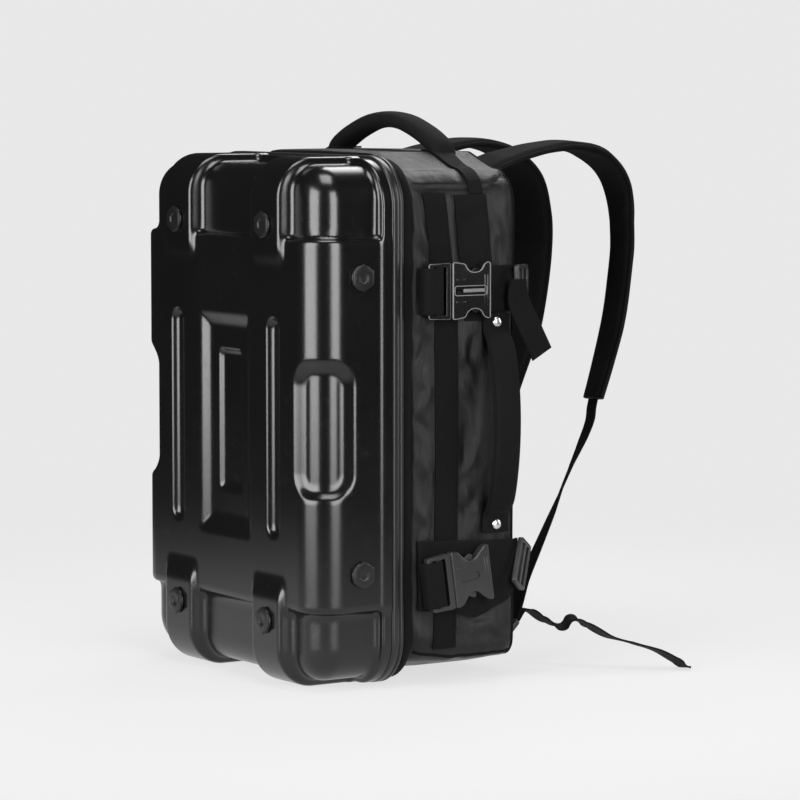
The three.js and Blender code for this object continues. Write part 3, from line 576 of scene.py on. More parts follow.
@dataclass(frozen=True)
class MouldedPlastic:
    """Hard black plastic with a fine moulded grain."""

    name: str
    tone: float = 0.012
    rough: float = 0.3
    grain: float = 900.0
    depth: float = 0.00012
    coat: float = 0.25
    shine: float = 0.5

    def build(self) -> bpy.types.Material:
        """Makes the material."""
        s = Shader(self.name)
        grain = s.noise(self.grain, 2.0, 0.6)
        cloudy = s.noise(9.0, 3.0, 0.55)
        worn = s.noise(60.0, 4.0, 0.65).ramp(0.55, 0.75)
        s.colour((self.tone,) * 3, (self.tone * 1.6,) * 3, cloudy)
        rough = self.rough + (cloudy - 0.5) * 0.1 + worn * 0.05 + (grain - 0.5) * 0.12
        normal = s.bump(grain, self.depth, 0.55)
        return s.finish(
            Roughness=rough, Normal=normal, Specular_IOR_Level=self.shine,
            Coat_Weight=self.coat, Coat_Roughness=0.18,
        )


@dataclass(frozen=True)
class CoatedCloth:
    """Dark coated cloth with a fine weave and small creases."""

    name: str
    tone: float = 0.03
    rough: float = 0.42
    crease: float = 0.0016

    def build(self) -> bpy.types.Material:
        """Makes the material."""
        s = Shader(self.name)
        flow = s.noise(14.0, 3.0, 0.5, s.stretched((1.0, 2.2, 0.8)))
        fine = s.noise(55.0, 3.0, 0.55, s.stretched((1.0, 1.6, 0.7)))
        weave = s.node("ShaderNodeTexWave", {"bands_direction": "Z"}, Scale=420.0, Distortion=0.4)
        cross = s.node("ShaderNodeTexWave", {"bands_direction": "Y"}, Scale=420.0, Distortion=0.4)
        threads = s.wire(weave.outputs[1]) + s.wire(cross.outputs[1])
        s.colour((self.tone * 0.8,) * 3, (self.tone * 1.35,) * 2 + (self.tone * 1.4,), flow)
        soft = s.bump(flow, self.crease, 0.8)
        small = s.bump(fine, self.crease * 0.35, 0.7, soft)
        normal = s.bump(threads, 0.00006, 0.5, small)
        rough = self.rough + (fine - 0.5) * 0.22
        return s.finish(Roughness=rough, Normal=normal, Specular_IOR_Level=0.22)


@dataclass(frozen=True)
class WovenCloth:
    """Matte black cloth with a plain weave, on the padded pieces."""

    name: str
    tone: float = 0.014
    threads: float = 1100.0

    def build(self) -> bpy.types.Material:
        """Makes the material."""
        s = Shader(self.name)
        across, along = s.across_along()
        warp = (across * self.threads * 2.0).sine()
        weft = (along * self.threads * 2.0).sine()
        weave = warp * weft * 0.5 + 0.5
        worn = s.noise(22.0, 4.0, 0.6)
        fuzz = s.noise(700.0, 2.0, 0.7)
        s.colour((self.tone * 0.7,) * 3, (self.tone * 2.0,) * 3, worn * 0.6 + weave * 0.25 + fuzz * 0.15)
        soft = s.bump(worn, 0.0009, 0.5)
        normal = s.bump(weave + fuzz * 0.5, 0.00025, 0.7, soft)
        rough = 0.78 + (fuzz - 0.5) * 0.2
        return s.finish(Roughness=rough, Normal=normal, Specular_IOR_Level=0.06, Sheen_Weight=0.01)


@dataclass(frozen=True)
class RibbedWebbing:
    """Polyester webbing: ribs across it, a herringbone of threads and a selvedge at each edge."""

    name: str
    width: float
    tone: float = 0.013
    ribs: float = 0.0016

    def build(self) -> bpy.types.Material:
        """Makes the material."""
        s = Shader(self.name)
        across, along = s.across_along()
        slant = along + across.wrap(0.005) * 0.8
        rib = (slant * (2 * math.pi / self.ribs)).sine() * 0.5 + 0.5
        thread = (across * (2 * math.pi / 0.0009)).sine() * 0.5 + 0.5
        worn = s.noise(35.0, 4.0, 0.6)
        s.colour((self.tone * 0.7,) * 3, (self.tone * 2.2,) * 3, rib * 0.35 + worn * 0.5 + thread * 0.15)
        normal = s.bump(rib + thread * 0.5, 0.0003, 0.7)
        rough = 0.68 + (worn - 0.5) * 0.25
        return s.finish(Roughness=rough, Normal=normal, Specular_IOR_Level=0.06, Sheen_Weight=0.01)


@dataclass(frozen=True)
class PolishedMetal:
    """Nickel plated metal with fine scratches."""

    name: str
    tone: float = 0.72

    def build(self) -> bpy.types.Material:
        """Makes the material."""
        s = Shader(self.name)
        scratch = s.noise(900.0, 3.0, 0.6, s.stretched((1.0, 0.2, 3.0)))
        spot = s.noise(120.0, 3.0, 0.5)
        s.colour((self.tone * 0.8,) * 3, (self.tone,) * 3, spot)
        normal = s.bump(scratch, 0.00005, 0.4)
        return s.finish(Metallic=1.0, Roughness=0.22 + scratch * 0.15, Normal=normal)


class Finish(Enum):
    """The finishes, by the record's material slot."""

    SHELL = ("shell", MouldedPlastic("shell_plastic", 0.0024, 0.22, 900.0, 0.00007, 0.0))
    BOLT = ("bolt", MouldedPlastic("bolt_plastic", 0.005, 0.34, 700.0, 0.0001, 0.0, 0.35))
    RIM = ("rim", MouldedPlastic("rim_plastic", 0.006, 0.34, 700.0, 0.0001, 0.0, 0.4))
    BINDING = ("binding", RibbedWebbing("binding_tape", 0.02, 0.0028, 0.0012))
    RIPSTOP = ("ripstop", CoatedCloth("bag_cloth", 0.0045, 0.38, 0.0034))
    PADDING = ("padding", WovenCloth("padding_cloth", 0.0035))
    WEBBING = ("webbing", RibbedWebbing("strap_webbing", 0.025, 0.0027))
    BUCKLE = ("buckle", MouldedPlastic("buckle_plastic", 0.013, 0.36, 500.0, 0.00006, 0.0, 0.4))
    GLOSSY_BUCKLE = ("buckle", MouldedPlastic("glossy_buckle_plastic", 0.004, 0.24, 500.0, 0.00004, 0.0, 0.6))
    # Light plastic for the beads and bar on the upper buckle: painted highlights on its edges and slot bar.
    EDGE_HIGHLIGHT = ("buckle", MouldedPlastic("painted_highlight_plastic", 0.11, 0.36, 500.0, 0.00004, 0.0, 0.5))
    RIVET = ("rivet", PolishedMetal("rivet_metal"))


class Wardrobe:
    """Makes each finish once."""

    def __init__(self) -> None:
        """Starts with nothing made."""
        self.made: dict[Finish, bpy.types.Material] = {}

    def material(self, finish: Finish) -> bpy.types.Material:
        """Finds or makes a finish's material."""
        if finish not in self.made:
            self.made[finish] = finish.value[1].build()
        return self.made[finish]


@dataclass
class SubAssembly:
    """A part of the backpack, with the wardrobe that dresses its pieces."""

    wardrobe: Wardrobe

    def dress(self, piece: bpy.types.Object, finish: Finish, *nodes: str) -> bpy.types.Object:
        """Gives a piece its finish and says which CAD nodes it stands for.

        Args:
            piece: the finished piece.
            finish: its finish.
            nodes: the CAD nodes that it replaces, if any.

        Returns:
            The same piece.
        """
        piece.data.materials.clear()
        piece.data.materials.append(self.wardrobe.material(finish))
        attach(piece, "root")
        if nodes:
            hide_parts(*nodes)
        log.info("%s: %d faces", piece.name, len(piece.data.polygons))
        return piece

    def pair(self, piece: bpy.types.Object, finish: Finish, node: Optional[str] = None) -> None:
        """Dresses a piece of the right side and its mirrored copy.

        Args:
            piece: the right side's piece, named without its side.
            finish: its finish.
            node: the CAD node's name without its side, or None where it stands for none.
        """
        name = piece.name
        piece.name = f"{name}_right"
        self.dress(piece, finish, *([f"{node}_right"] if node else []))
        left = Bench.mirrored(piece, f"{name}_left")
        self.dress(left, finish, *([f"{node}_left"] if node else []))


# The hard shell, as a smooth field of distances


def over(a: np.ndarray, b: np.ndarray, blend: float) -> np.ndarray:
    """The larger of two fields, with a round of about the blend where they cross."""
    share = np.clip(0.5 + 0.5 * (a - b) / blend, 0.0, 1.0)
    return b + (a - b) * share + blend * share * (1.0 - share)


def under(a: np.ndarray, b: np.ndarray, blend: float) -> np.ndarray:
    """The smaller of two fields, with a fillet of about the blend where they cross."""
    return -over(-a, -b, blend)


def rounded(x: np.ndarray, y: np.ndarray, half_x: float, half_y: float, radius: float) -> np.ndarray:
    """The distance from a rounded rectangle about zero."""
    dx = np.abs(x) - half_x + radius
    dy = np.abs(y) - half_y + radius
    outside = np.hypot(np.maximum(dx, 0), np.maximum(dy, 0))
    return outside + np.minimum(np.maximum(dx, dy), 0) - radius


@dataclass(frozen=True)
class Recess:
    """A recess of the shell: its middle, half sizes, corner, floor, sloping sides and roundings."""

    across: float
    up: float
    half_width: float
    half_height: float
    corner: float
    floor: float
    bevel: float
    fillet: float
    lip: float

    def cut(self, body: np.ndarray, across: np.ndarray, up: np.ndarray, depth: np.ndarray) -> np.ndarray:
        """Cuts the recess into a field."""
        outline = rounded(across - self.across, up - self.up, self.half_width, self.half_height, self.corner)
        slope = self.bevel / self.floor
        side = (outline + depth * slope) / math.sqrt(1.0 + slope * slope)
        return over(body, -over(depth - self.floor, side, self.fillet), self.lip)


@dataclass
class HardShell(SubAssembly):
    """The moulded front shell with its feet, ledges, ribs and recesses."""

    depth: float = 84.0
    edge: float = 33.0
    pocket: float = 8.0
    ledge: float = 75.0
    ledge_slope: float = 0.75
    ledge_blend: float = 5.0
    pocket_edge: float = 26.0
    pocket_corner: float = 42.0
    pocket_blend: float = 4.0
    collar_front: float = 71.0
    collar_bevel: float = 3.0
    collar_corner: float = 45.0
    collar_low: float = 1.5
    collar_blend: float = 4.0
    foot_middle: float = 82.0
    foot_half: float = 25.0
    foot_rise: float = 5.0
    foot_length: float = 110.0
    foot_bend: float = 38.0
    foot_taper: float = 18.0
    foot_spread: float = 6.0 / 13.0
    foot_edge: float = 3.0
    foot_tip: float = 9.0
    foot_fillet: float = 4.5
    groove: Recess = Recess(89.0, 246.0, 11.0, 104.0, 10.9, 6.0, 4.0, 2.0, 1.8)
    panel: Recess = Recess(0.0, 244.0, 46.0, 106.0, 5.0, 7.0, 13.0, 2.0, 2.0)
    slot: Recess = Recess(0.0, 246.5, 21.0, 68.5, 5.0, 4.0, 4.0, 2.0, 1.8)
    grip: Recess = Recess(2.0, 247.0, 34.0, 65.0, 24.0, 7.5, 9.0, 2.5, 2.0)
    voxel: float = 1.9
    relaxing: int = 16
    far: float = 300.0

    def feet(self, x: np.ndarray, y: np.ndarray, end: np.ndarray) -> np.ndarray:
        """The field of the four feet.

        Args:
            x: how far from the middle each point lies.
            y: how far back.
            end: how far from the shell's nearer end.

        Returns:
            The distance from the feet's skin, negative inside.
        """
        side = rounded(y + self.foot_rise - self.far, end - self.far, self.far, self.far, self.foot_bend)
        tip = (end - (self.foot_length - self.foot_taper * 0.5) + (-y) * 1.2) * 0.64
        spread = np.abs(x - self.foot_middle) - self.foot_half + side * self.foot_spread
        flank = spread / math.hypot(1, self.foot_spread)
        return over(over(side, flank, self.foot_edge), tip, self.foot_tip)

    def field(self, p: np.ndarray) -> np.ndarray:
        """The shell's distance field.

        Args:
            p: points in millimetres.

        Returns:
            The distance of each from the shell's outer skin, negative inside.
        """
        x, y, z = np.abs(p[:, 0]), p[:, 1], p[:, 2]
        end = np.minimum(z, HEIGHT - z)
        r = self.edge
        section = rounded(x, y - self.far, HALF, self.far, r)
        middle = over(section, (self.ledge - end) * self.ledge_slope, self.ledge_blend)
        inner = self.pocket
        outline = rounded(x, z - HEIGHT / 2, HALF - inner, HEIGHT / 2 - inner, self.pocket_corner - inner)
        rim_x, rim_y = outline + self.pocket_edge, (inner + self.pocket_edge) - y
        ends = np.hypot(np.maximum(rim_x, 0), np.maximum(rim_y, 0))
        ends = ends + np.minimum(np.maximum(rim_x, rim_y), 0) - self.pocket_edge
        body = under(middle, ends, self.pocket_blend)
        ring = rounded(x, z - HEIGHT / 2, HALF, HEIGHT / 2 - self.collar_low, self.collar_corner)
        collar = over(ring, self.collar_front + self.collar_bevel - y, self.collar_bevel)
        body = under(body, collar, self.collar_blend)
        body = under(body, self.feet(x, y, end), self.foot_fillet)
        body = self.groove.cut(body, x, z, y)
        body = self.panel.cut(body, x, z, y)
        body = self.slot.cut(body, x, z, y - self.panel.floor)
        turn = np.arctan2(np.maximum(x - (HALF - r), 0), np.maximum(r - y, 0))
        run = r * (turn - math.pi / 4) - np.maximum((HALF - r) - x, 0) + np.maximum(y - r, 0)
        return self.grip.cut(body, run, z, -section)

    def settle(self, points: np.ndarray, steps: int) -> np.ndarray:
        """Moves points onto the shell's skin.

        Args:
            points: points near it, in millimetres.
            steps: how many times they are moved.

        Returns:
            The points on the skin.
        """
        for _ in range(steps):
            value = self.field(points)
            slope = np.stack([
                (self.field(points + shift) - self.field(points - shift)) / 0.4
                for shift in np.eye(3) * 0.2
            ], axis=1)
            size = np.maximum((slope * slope).sum(1), 0.2)
            step = np.clip(value / size, -4.0, 4.0)
            points = points - slope * step[:, None]
        return points

    def build(self) -> bpy.types.Object:
        """Makes the shell: a block with rounded edges, remeshed and pressed onto the moulded form.

        Returns:
            The shell.
        """
        shell = Bench.block("moulded_shell", (-HALF, -2.0, 2.0), (HALF, self.depth + 8.0, HEIGHT - 2.0))
        Bench.modify(shell, "BEVEL", width=0.022, segments=4, limit_method="ANGLE")
        shell.data.remesh_voxel_size = self.voxel * 0.001
        Bench.only(shell)
        bpy.ops.object.voxel_remesh()
        Bench.only(shell)
        bpy.ops.object.mode_set(mode="EDIT")
        bpy.ops.mesh.select_all(action="SELECT")
        back = metres(np.array([0.0, self.depth - 0.3, 0.0]))
        bpy.ops.mesh.bisect(plane_co=tuple(back), plane_no=(0, 1, 0), clear_outer=True, use_fill=False)
        bpy.ops.object.mode_set(mode="OBJECT")
        count = len(shell.data.vertices)
        flat = np.zeros(count * 3)
        shell.data.vertices.foreach_get("co", flat)
        points = flat.reshape(-1, 3) * 1000.0 + (0.0, ORIGIN_BACK, 0.0)
        edges = np.zeros(len(shell.data.edges) * 2, np.int64)
        shell.data.edges.foreach_get("vertices", edges)
        edges = edges.reshape(-1, 2)
        fixed = points[:, 1] > self.depth - 0.5
        points = self.settle(points, 6)
        degree = np.bincount(edges.reshape(-1), minlength=count)[:, None]
        for _ in range(self.relaxing):
            total = np.zeros_like(points)
            np.add.at(total, edges[:, 0], points[edges[:, 1]])
            np.add.at(total, edges[:, 1], points[edges[:, 0]])
            relaxed = points + 0.5 * (total / degree - points)
            relaxed[fixed] = points[fixed]
            points = self.settle(relaxed, 1)
        points = self.settle(points, 3)
        points[fixed, 1] = self.depth - 0.3
        shell.data.vertices.foreach_set("co", metres(points).reshape(-1))
        Bench.only(shell)
        bpy.ops.object.mode_set(mode="EDIT")
        bpy.ops.mesh.select_all(action="SELECT")
        bpy.ops.mesh.fill_holes(sides=0)
        bpy.ops.object.mode_set(mode="OBJECT")
        Bench.smooth(Bench.outward(shell), 60.0)
        return self.dress(shell, Finish.SHELL, "hard_shell")


def rounded_corners(
    points: Sequence[tuple[float, float]], radius: Union[float, Sequence[float]], steps: int = 5
) -> list[tuple[float, float]]:
    """Rounds the corners of an outline.

    Args:
        points: its corners.
        radius: how far from each corner the rounding starts, one for all or one for each.
        steps: how many points each rounded corner has.

    Returns:
        The rounded outline.
    """
    count = len(points)
    radii = [radius] * count if isinstance(radius, (int, float)) else list(radius)
    corners = [np.array(point, float) for point in points]
    outline: list[tuple[float, float]] = []
    for i, corner in enumerate(corners):
        before, after = corners[i - 1] - corner, corners[(i + 1) % count] - corner
        start = corner + before * min(radii[i] / np.linalg.norm(before), 0.48)
        end = corner + after * min(radii[i] / np.linalg.norm(after), 0.48)
        for share in np.linspace(0, 1, steps):
            spot = (1 - share) ** 2 * start + 2 * share * (1 - share) * corner + share**2 * end
            outline.append((float(spot[0]), float(spot[1])))
    return outline


def ring_outline(
    half: float, low: float, high: float, radius: float, steps: int, straight: int
) -> np.ndarray:
    """A rounded rectangle in the XZ plane with points along its straight sides too.

    Args:
        half: half its width.
        low: its lowest height.
        high: its highest height.
        radius: its corner radius.
        steps: how many points each corner has.
        straight: how many points each side has.

    Returns:
        Its points as rows of x and z.
    """
    centres = [(half - radius, low + radius, -90), (half - radius, high - radius, 0),
               (radius - half, high - radius, 90), (radius - half, low + radius, 180)]
    arcs = []
    for x, z, start in centres:
        turn = np.radians(start + np.linspace(0, 90, steps))
        arcs.append(np.stack([x + radius * np.cos(turn), z + radius * np.sin(turn)], axis=1))
    rows = []
    for i, arc in enumerate(arcs):
        following = arcs[(i + 1) % 4][0]
        share = np.linspace(0, 1, straight + 2)[1:-1, None]
        rows.append(arc)
        rows.append(arc[-1] + (following - arc[-1]) * share)
    return np.concatenate(rows)


@dataclass(frozen=True)
class Row:
    """One point of a strap's middle line."""

    at: tuple[float, float, float]
    twist: float = 0.0
    wide: float = 1.0
    deep: float = 1.0


class Section(Enum):
    """The cross sections of straps and padded pieces, as shares of half the width and half the thickness."""

    FLAT = "flat"
    PAD = "pad"
    GRIP = "grip"

    def outline(self) -> np.ndarray:
        """The section's points, from one edge over the top and back underneath.

        Returns:
            Its points, with the last equal to the first.
        """
        if self is Section.FLAT:
            side = np.array([(-0.985, -0.9), (-1.0, -0.3), (-1.0, 0.3), (-0.985, 0.9)])
            top = np.stack([np.linspace(-0.95, 0.95, 7), np.ones(7)], axis=1)
        elif self is Section.PAD:
            lower = [(-0.93, -0.22), (-0.97, -0.3), (-1.0, -0.12)]
            side = np.array([*lower, *((x, -y) for x, y in reversed(lower))])
            across = np.concatenate([[-0.885, -0.86], np.linspace(-0.82, 0.82, 13), [0.86, 0.885]])
            crown = 0.5 + 0.5 * (1 - np.abs(across / 0.93) ** 3.2) ** 0.6
            crown[[0, -1]] = 0.3
            crown[[1, -2]] = 0.36
            top = np.stack([across, crown], axis=1)
        else:
            turn = np.linspace(np.pi, 0, 17)[1:-1]
            side = np.array([(-1.0, -0.18), (-1.0, 0.18)])
            top = np.stack([np.cos(turn) * 0.99, np.sin(turn) ** 0.62], axis=1)
        below = -top
        return np.concatenate([side, top, -side, below, side[:1]])


class Strap:
    """A strap or padded piece: a section carried along a smooth curve."""

    def __init__(self, rows: Sequence[Row], along: Sequence[float]) -> None:
        """Takes the middle line."""
        self.rows = rows
        self.along = np.array(along, float)

    def curve(self, steps: int) -> tuple[np.ndarray, np.ndarray]:
        """The smooth middle line.

        Args:
            steps: how many stretches it is cut into.

        Returns:
            Its points and its directions.
        """
        knots = np.array([row.at for row in self.rows], float)
        ends = np.concatenate([[2 * knots[0] - knots[1]], knots, [2 * knots[-1] - knots[-2]]])
        places, directions = [], []
        for i in range(steps + 1):
            where = i / steps * (len(knots) - 1)
            first = min(int(where), len(knots) - 2)
            t = where - first
            a, b, c, d = ends[first : first + 4]
            ab, bc, cd = (max(np.linalg.norm(q - p) ** 0.5, 1e-4) for p, q in ((a, b), (b, c), (c, d)))
            start = ((b - a) / ab - (c - a) / (ab + bc) + (c - b) / bc) * bc
            end = ((c - b) / bc - (d - b) / (bc + cd) + (d - c) / cd) * bc
            second, third = -3 * b + 3 * c - 2 * start - end, 2 * b - 2 * c + start + end
            places.append(b + start * t + second * t * t + third * t**3)
            directions.append(start + 2 * second * t + 3 * third * t * t)
        return np.array(places), unit(np.array(directions))

    def column(self, name: str, steps: int) -> np.ndarray:
        """One of the table's columns along the curve."""
        values = [getattr(row, name) for row in self.rows]
        return np.interp(np.linspace(0, len(values) - 1, steps + 1), range(len(values)), values)

    def frames(self, steps: int) -> tuple[np.ndarray, np.ndarray, np.ndarray]:
        """The middle line with the directions of the strap's width and face.

        Args:
            steps: how many stretches it is cut into.

        Returns:
            The points, the width's directions and the face's directions.
        """
        places, tangents = self.curve(steps)
        across = unit(self.along - tangents * (tangents @ self.along)[:, None])
        twist = np.radians(self.column("twist", steps))[:, None]
        across = across * np.cos(twist) + np.cross(tangents, across) * np.sin(twist)
        return places, across, np.cross(tangents, across)

    def build(
        self, name: str, width: float, thick: float, steps: int, section: Section = Section.FLAT,
        ripple: Optional[Callable[[np.ndarray, np.ndarray], np.ndarray]] = None,
    ) -> bpy.types.Object:
        """Makes the strap.

        Args:
            name: the piece's name.
            width: its width in millimetres.
            thick: its thickness in millimetres.
            steps: how many stretches it is cut into.
            section: its cross section.
            ripple: a change of thickness as a share, from the share across and the share along.

        Returns:
            The strap.
        """
        places, across, face = self.frames(steps)
        shape = section.outline()
        wide = self.column("wide", steps)[:, None] * width / 2
        deep = self.column("deep", steps)[:, None] * thick / 2
        share = np.linspace(0, 1, steps + 1)[:, None]
        a = shape[None, :, 0] * wide
        b = shape[None, :, 1] * deep
        if ripple is not None:
            b = b * (1 + ripple(shape[None, :, 0], share))
        points = places[:, None] + across[:, None] * a[..., None] + face[:, None] * b[..., None]
        return Bench.grid(name, points, closed=True, capped=True)

    def line(
        self, width: float, thick: float, steps: int, side: float, high: float
    ) -> tuple[np.ndarray, np.ndarray]:
        """A line along the strap's face, for stitches."""
        places, across, face = self.frames(steps)
        wide = self.column("wide", steps)[:, None] * width / 2 * side
        deep = self.column("deep", steps)[:, None] * thick / 2 * high
        return places + across * wide + face * deep, face * np.sign(high)


class Thread:
    """Rows of stitches: one stitch is modelled and copied along a line."""

    @staticmethod
    def sew(
        name: str, lines: Sequence[tuple[np.ndarray, np.ndarray]], length: float = 3.0,
        space: float = 1.3, thick: float = 0.42,
    ) -> bpy.types.Object:
        """Sews stitches along lines.

        Args:
            name: the piece's name.
            lines: for each line its points and the directions that its cloth faces.
            length: a stitch's length in millimetres.
            space: the space between stitches.
            thick: half a stitch's thickness.

        Returns:
            All the stitches as one piece.
        """
        Bench.clear()
        bpy.ops.mesh.primitive_ico_sphere_add(subdivisions=1, radius=1)
        piece = Bench.named(name)
        unit_points = np.array([tuple(v.co) for v in piece.data.vertices])
        faces = np.array([tuple(p.vertices) for p in piece.data.polygons])
        points, polygons = [], []
        for path, facing in lines:
            run = np.concatenate([[0], np.cumsum(np.linalg.norm(np.diff(path, axis=0), axis=1))])
            for middle in np.arange(length, run[-1] - length / 2, length + space):
                at = np.array([np.interp(middle, run, path[:, k]) for k in range(3)])
                ahead = np.array([np.interp(middle + 0.5, run, path[:, k]) for k in range(3)])
                out = unit(np.array([np.interp(middle, run, facing[:, k]) for k in range(3)]))
                run_way = unit(ahead - at)
                side = np.cross(run_way, out)
                local = unit_points * (length / 2, thick, thick)
                points.append(at + local[:, :1] * run_way + local[:, 1:2] * side + local[:, 2:] * out)
                polygons.append(faces + len(unit_points) * len(polygons))
        mesh = bpy.data.meshes.new(name)
        mesh.from_pydata(metres(np.concatenate(points)).tolist(), [], np.concatenate(polygons).tolist())
        piece.data = mesh
        return Bench.smooth(piece, 80.0)


@dataclass
class SoftBag(SubAssembly):
    """The soft bag behind the shell, with its seams, puckers and padded back."""

    edge: float = 25.0
    end_edge: float = 8.0
    top: float = 504.0
    rest_half: float = 45.0
    side_lift: float = 19.0
    top_in: float = 73.0
    shoulder_drop: float = 16.0
    low_corner: float = 38.0
    low_back_corner: float = 17.0
    high_corner: float = 34.0
    swell: float = 4.0
    columns: int = 480
    tree: Optional[BVHTree] = None
    cord: float = 1.4
    front_rows: int = 36
    back_rows: int = 12

    CENTRE = (0.0, 170.0, 250.0)

    # Along the bag's depth: how far each section is drawn in, and how far its sides swell, as shares
    SECTIONS = (
        (0.0, 0.12, 0.0), (0.08, 0.02, 0.4), (0.25, 0.0, 0.9), (0.5, 0.0, 1.0), (0.7, 0.0, 0.7),
        (0.8, 0.0, 0.2),
    )

    # Creases in the side walls: back and height where each starts, how far it runs back and up, depth, width
    CREASES = (
        (2, 455, 16, -52, 2.2, 5.0), (6, 420, 10, -40, -2.0, 4.5), (3, 372, 14, -46, 2.4, 5.5),
        (12, 345, -7, -60, -2.6, 5.0), (4, 310, 13, -34, 2.2, 5.0), (16, 290, -9, -42, 2.2, 4.5),
        (2, 262, 15, -30, -2.4, 4.5), (6, 230, 11, -44, 2.6, 5.5), (15, 205, -10, -38, -2.2, 4.5),
        (3, 180, 14, -34, 2.2, 5.0), (14, 150, -8, -26, 2.0, 4.5), (4, 84, 14, -36, -2.4, 6.0),
        (49, 330, 16, -52, 2.4, 5.5), (68, 338, -14, -44, -2.2, 5.0), (50, 292, 19, -28, 2.0, 5.0),
        (50, 246, 18, -46, -2.2, 6.0), (70, 232, -15, -36, 2.4, 5.5), (50, 190, 20, -28, 2.2, 5.0),
        (52, 160, 15, 22, -2.0, 5.0), (70, 176, -8, -42, 2.4, 5.0), (50, 455, 24, -14, 2.0, 5.0),
        (56, 440, 30, 6, -1.6, 5.0), (96, 452, 14, -50, 2.2, 5.0), (104, 430, -8, -44, -2.0, 4.5),
        (100, 330, 8, -70, 2.2, 5.0), (106, 250, -7, -60, -2.0, 5.0), (101, 180, 7, -44, 2.2, 5.0),
        (30, 62, 26, -14, 2.4, 5.5), (60, 58, 30, 8, -2.2, 6.0), (88, 60, 18, -20, 2.2, 5.0),
    )

    def ring(self, y: float, inset: float, swell: float) -> np.ndarray:
        """One section of the bag.

        Args:
            y: how far back it lies.
            inset: how far its outline is drawn in.
            swell: how far its sides swell.

        Returns:
            Its points, with the last equal to the first.
        """
        half = HALF - 1 - inset
        ends = inset * self.end_edge / self.edge
        low, high = ends, self.top - ends
        low_side, high_side = low + self.side_lift, high - self.shoulder_drop
        low_r = float(np.interp(y - BAG_FRONT, (0, 45), (self.low_corner, self.low_back_corner))) - inset / 4
        high_r = self.high_corner - inset / 2
        low_x, low_z = half - low_r, low_side + low_r
        high_x, high_z = half - high_r, high_side - high_r
        turn = np.radians(np.linspace(0, 90, 9))
        low_arc = np.stack([low_x + low_r * np.sin(turn), low_z - low_r * np.cos(turn)], axis=1)
        high_arc = np.stack([high_x + high_r * np.cos(turn), high_z + high_r * np.sin(turn)], axis=1)
        share = np.linspace(0, 1, 42)[1:-1]
        wall = np.stack([half + swell * np.sin(np.pi * share), low_z + (high_z - low_z) * share], axis=1)
        rising = (self.rest_half + (low_x - self.rest_half) * 0.55, low + self.side_lift * 0.45)
        bottom = [(0, low), (self.rest_half, low), rising]
        right = np.concatenate([bottom, low_arc, wall, high_arc, [(half - self.top_in, high - 1), (0, high)]])
        run = np.concatenate([[0], np.cumsum(np.linalg.norm(np.diff(right, axis=0), axis=1))])
        even = np.linspace(0, run[-1], self.columns // 2 + 1)
        right = np.stack([np.interp(even, run, right[:, 0]), np.interp(even, run, right[:, 1])], axis=1)
        left = right[-2::-1] * (-1, 1)
        loop = np.concatenate([right, left])
        return np.stack([loop[:, 0], np.full(len(loop), y), loop[:, 1]], axis=1)

    def puckers(self, points: np.ndarray) -> np.ndarray:
        """How far the cloth stands out at each point of the walls.

        Args:
            points: points on the plain bag.

        Returns:
            The height of the creases, seams and sag.
        """
        y, z = points[:, 1] - BAG_FRONT, points[:, 2]
        wall = np.clip((np.abs(points[:, 0]) - 128) / 22, 0, 1)
        height = np.zeros(len(points))
        for back, up, run, rise, deep, wide in self.CREASES:
            length = math.hypot(run, rise)
            along = ((y - back) * run + (z - up) * rise) / length
            off = ((y - back) * rise - (z - up) * run) / length + 2.2 * np.sin(along / 9.0 + up)
            fade = np.clip(along / (length * 0.3), 0, 1) * np.clip((length - along) / (length * 0.45), 0, 1)
            beside = np.exp(-(((off - wide * 1.5) / wide) ** 2))
            height += deep * fade * (np.exp(-((off / wide) ** 2)) - 0.45 * beside)
        sag = 0.9 * np.sin(z / 31.0 + 1.3 * np.sin(y / 19.0)) * np.sin(y / 15.0 + 0.7)
        fine = 0.35 * np.sin(z / 8.5 + 2.0 * np.sin(y / 9.0)) * np.sin(y / 6.0 + z / 22.0)
        held = 1 - np.exp(-(((y - 35) / 13.5) ** 4))
        level = 470 + np.clip((y - 87) / 21, 0, 1) * 10
        seam = -1.6 * np.exp(-(((z - level) / 1.6) ** 2)) + 0.8 * np.exp(-(((z - level - 4.5) / 2.8) ** 2))
        ends = np.clip(y / 5, 0, 1) * np.clip((BAG_DEPTH - 4 - y) / 8, 0, 1)
        return (wall * held * (height + sag + fine) + seam * (np.abs(points[:, 0]) > 60)) * ends

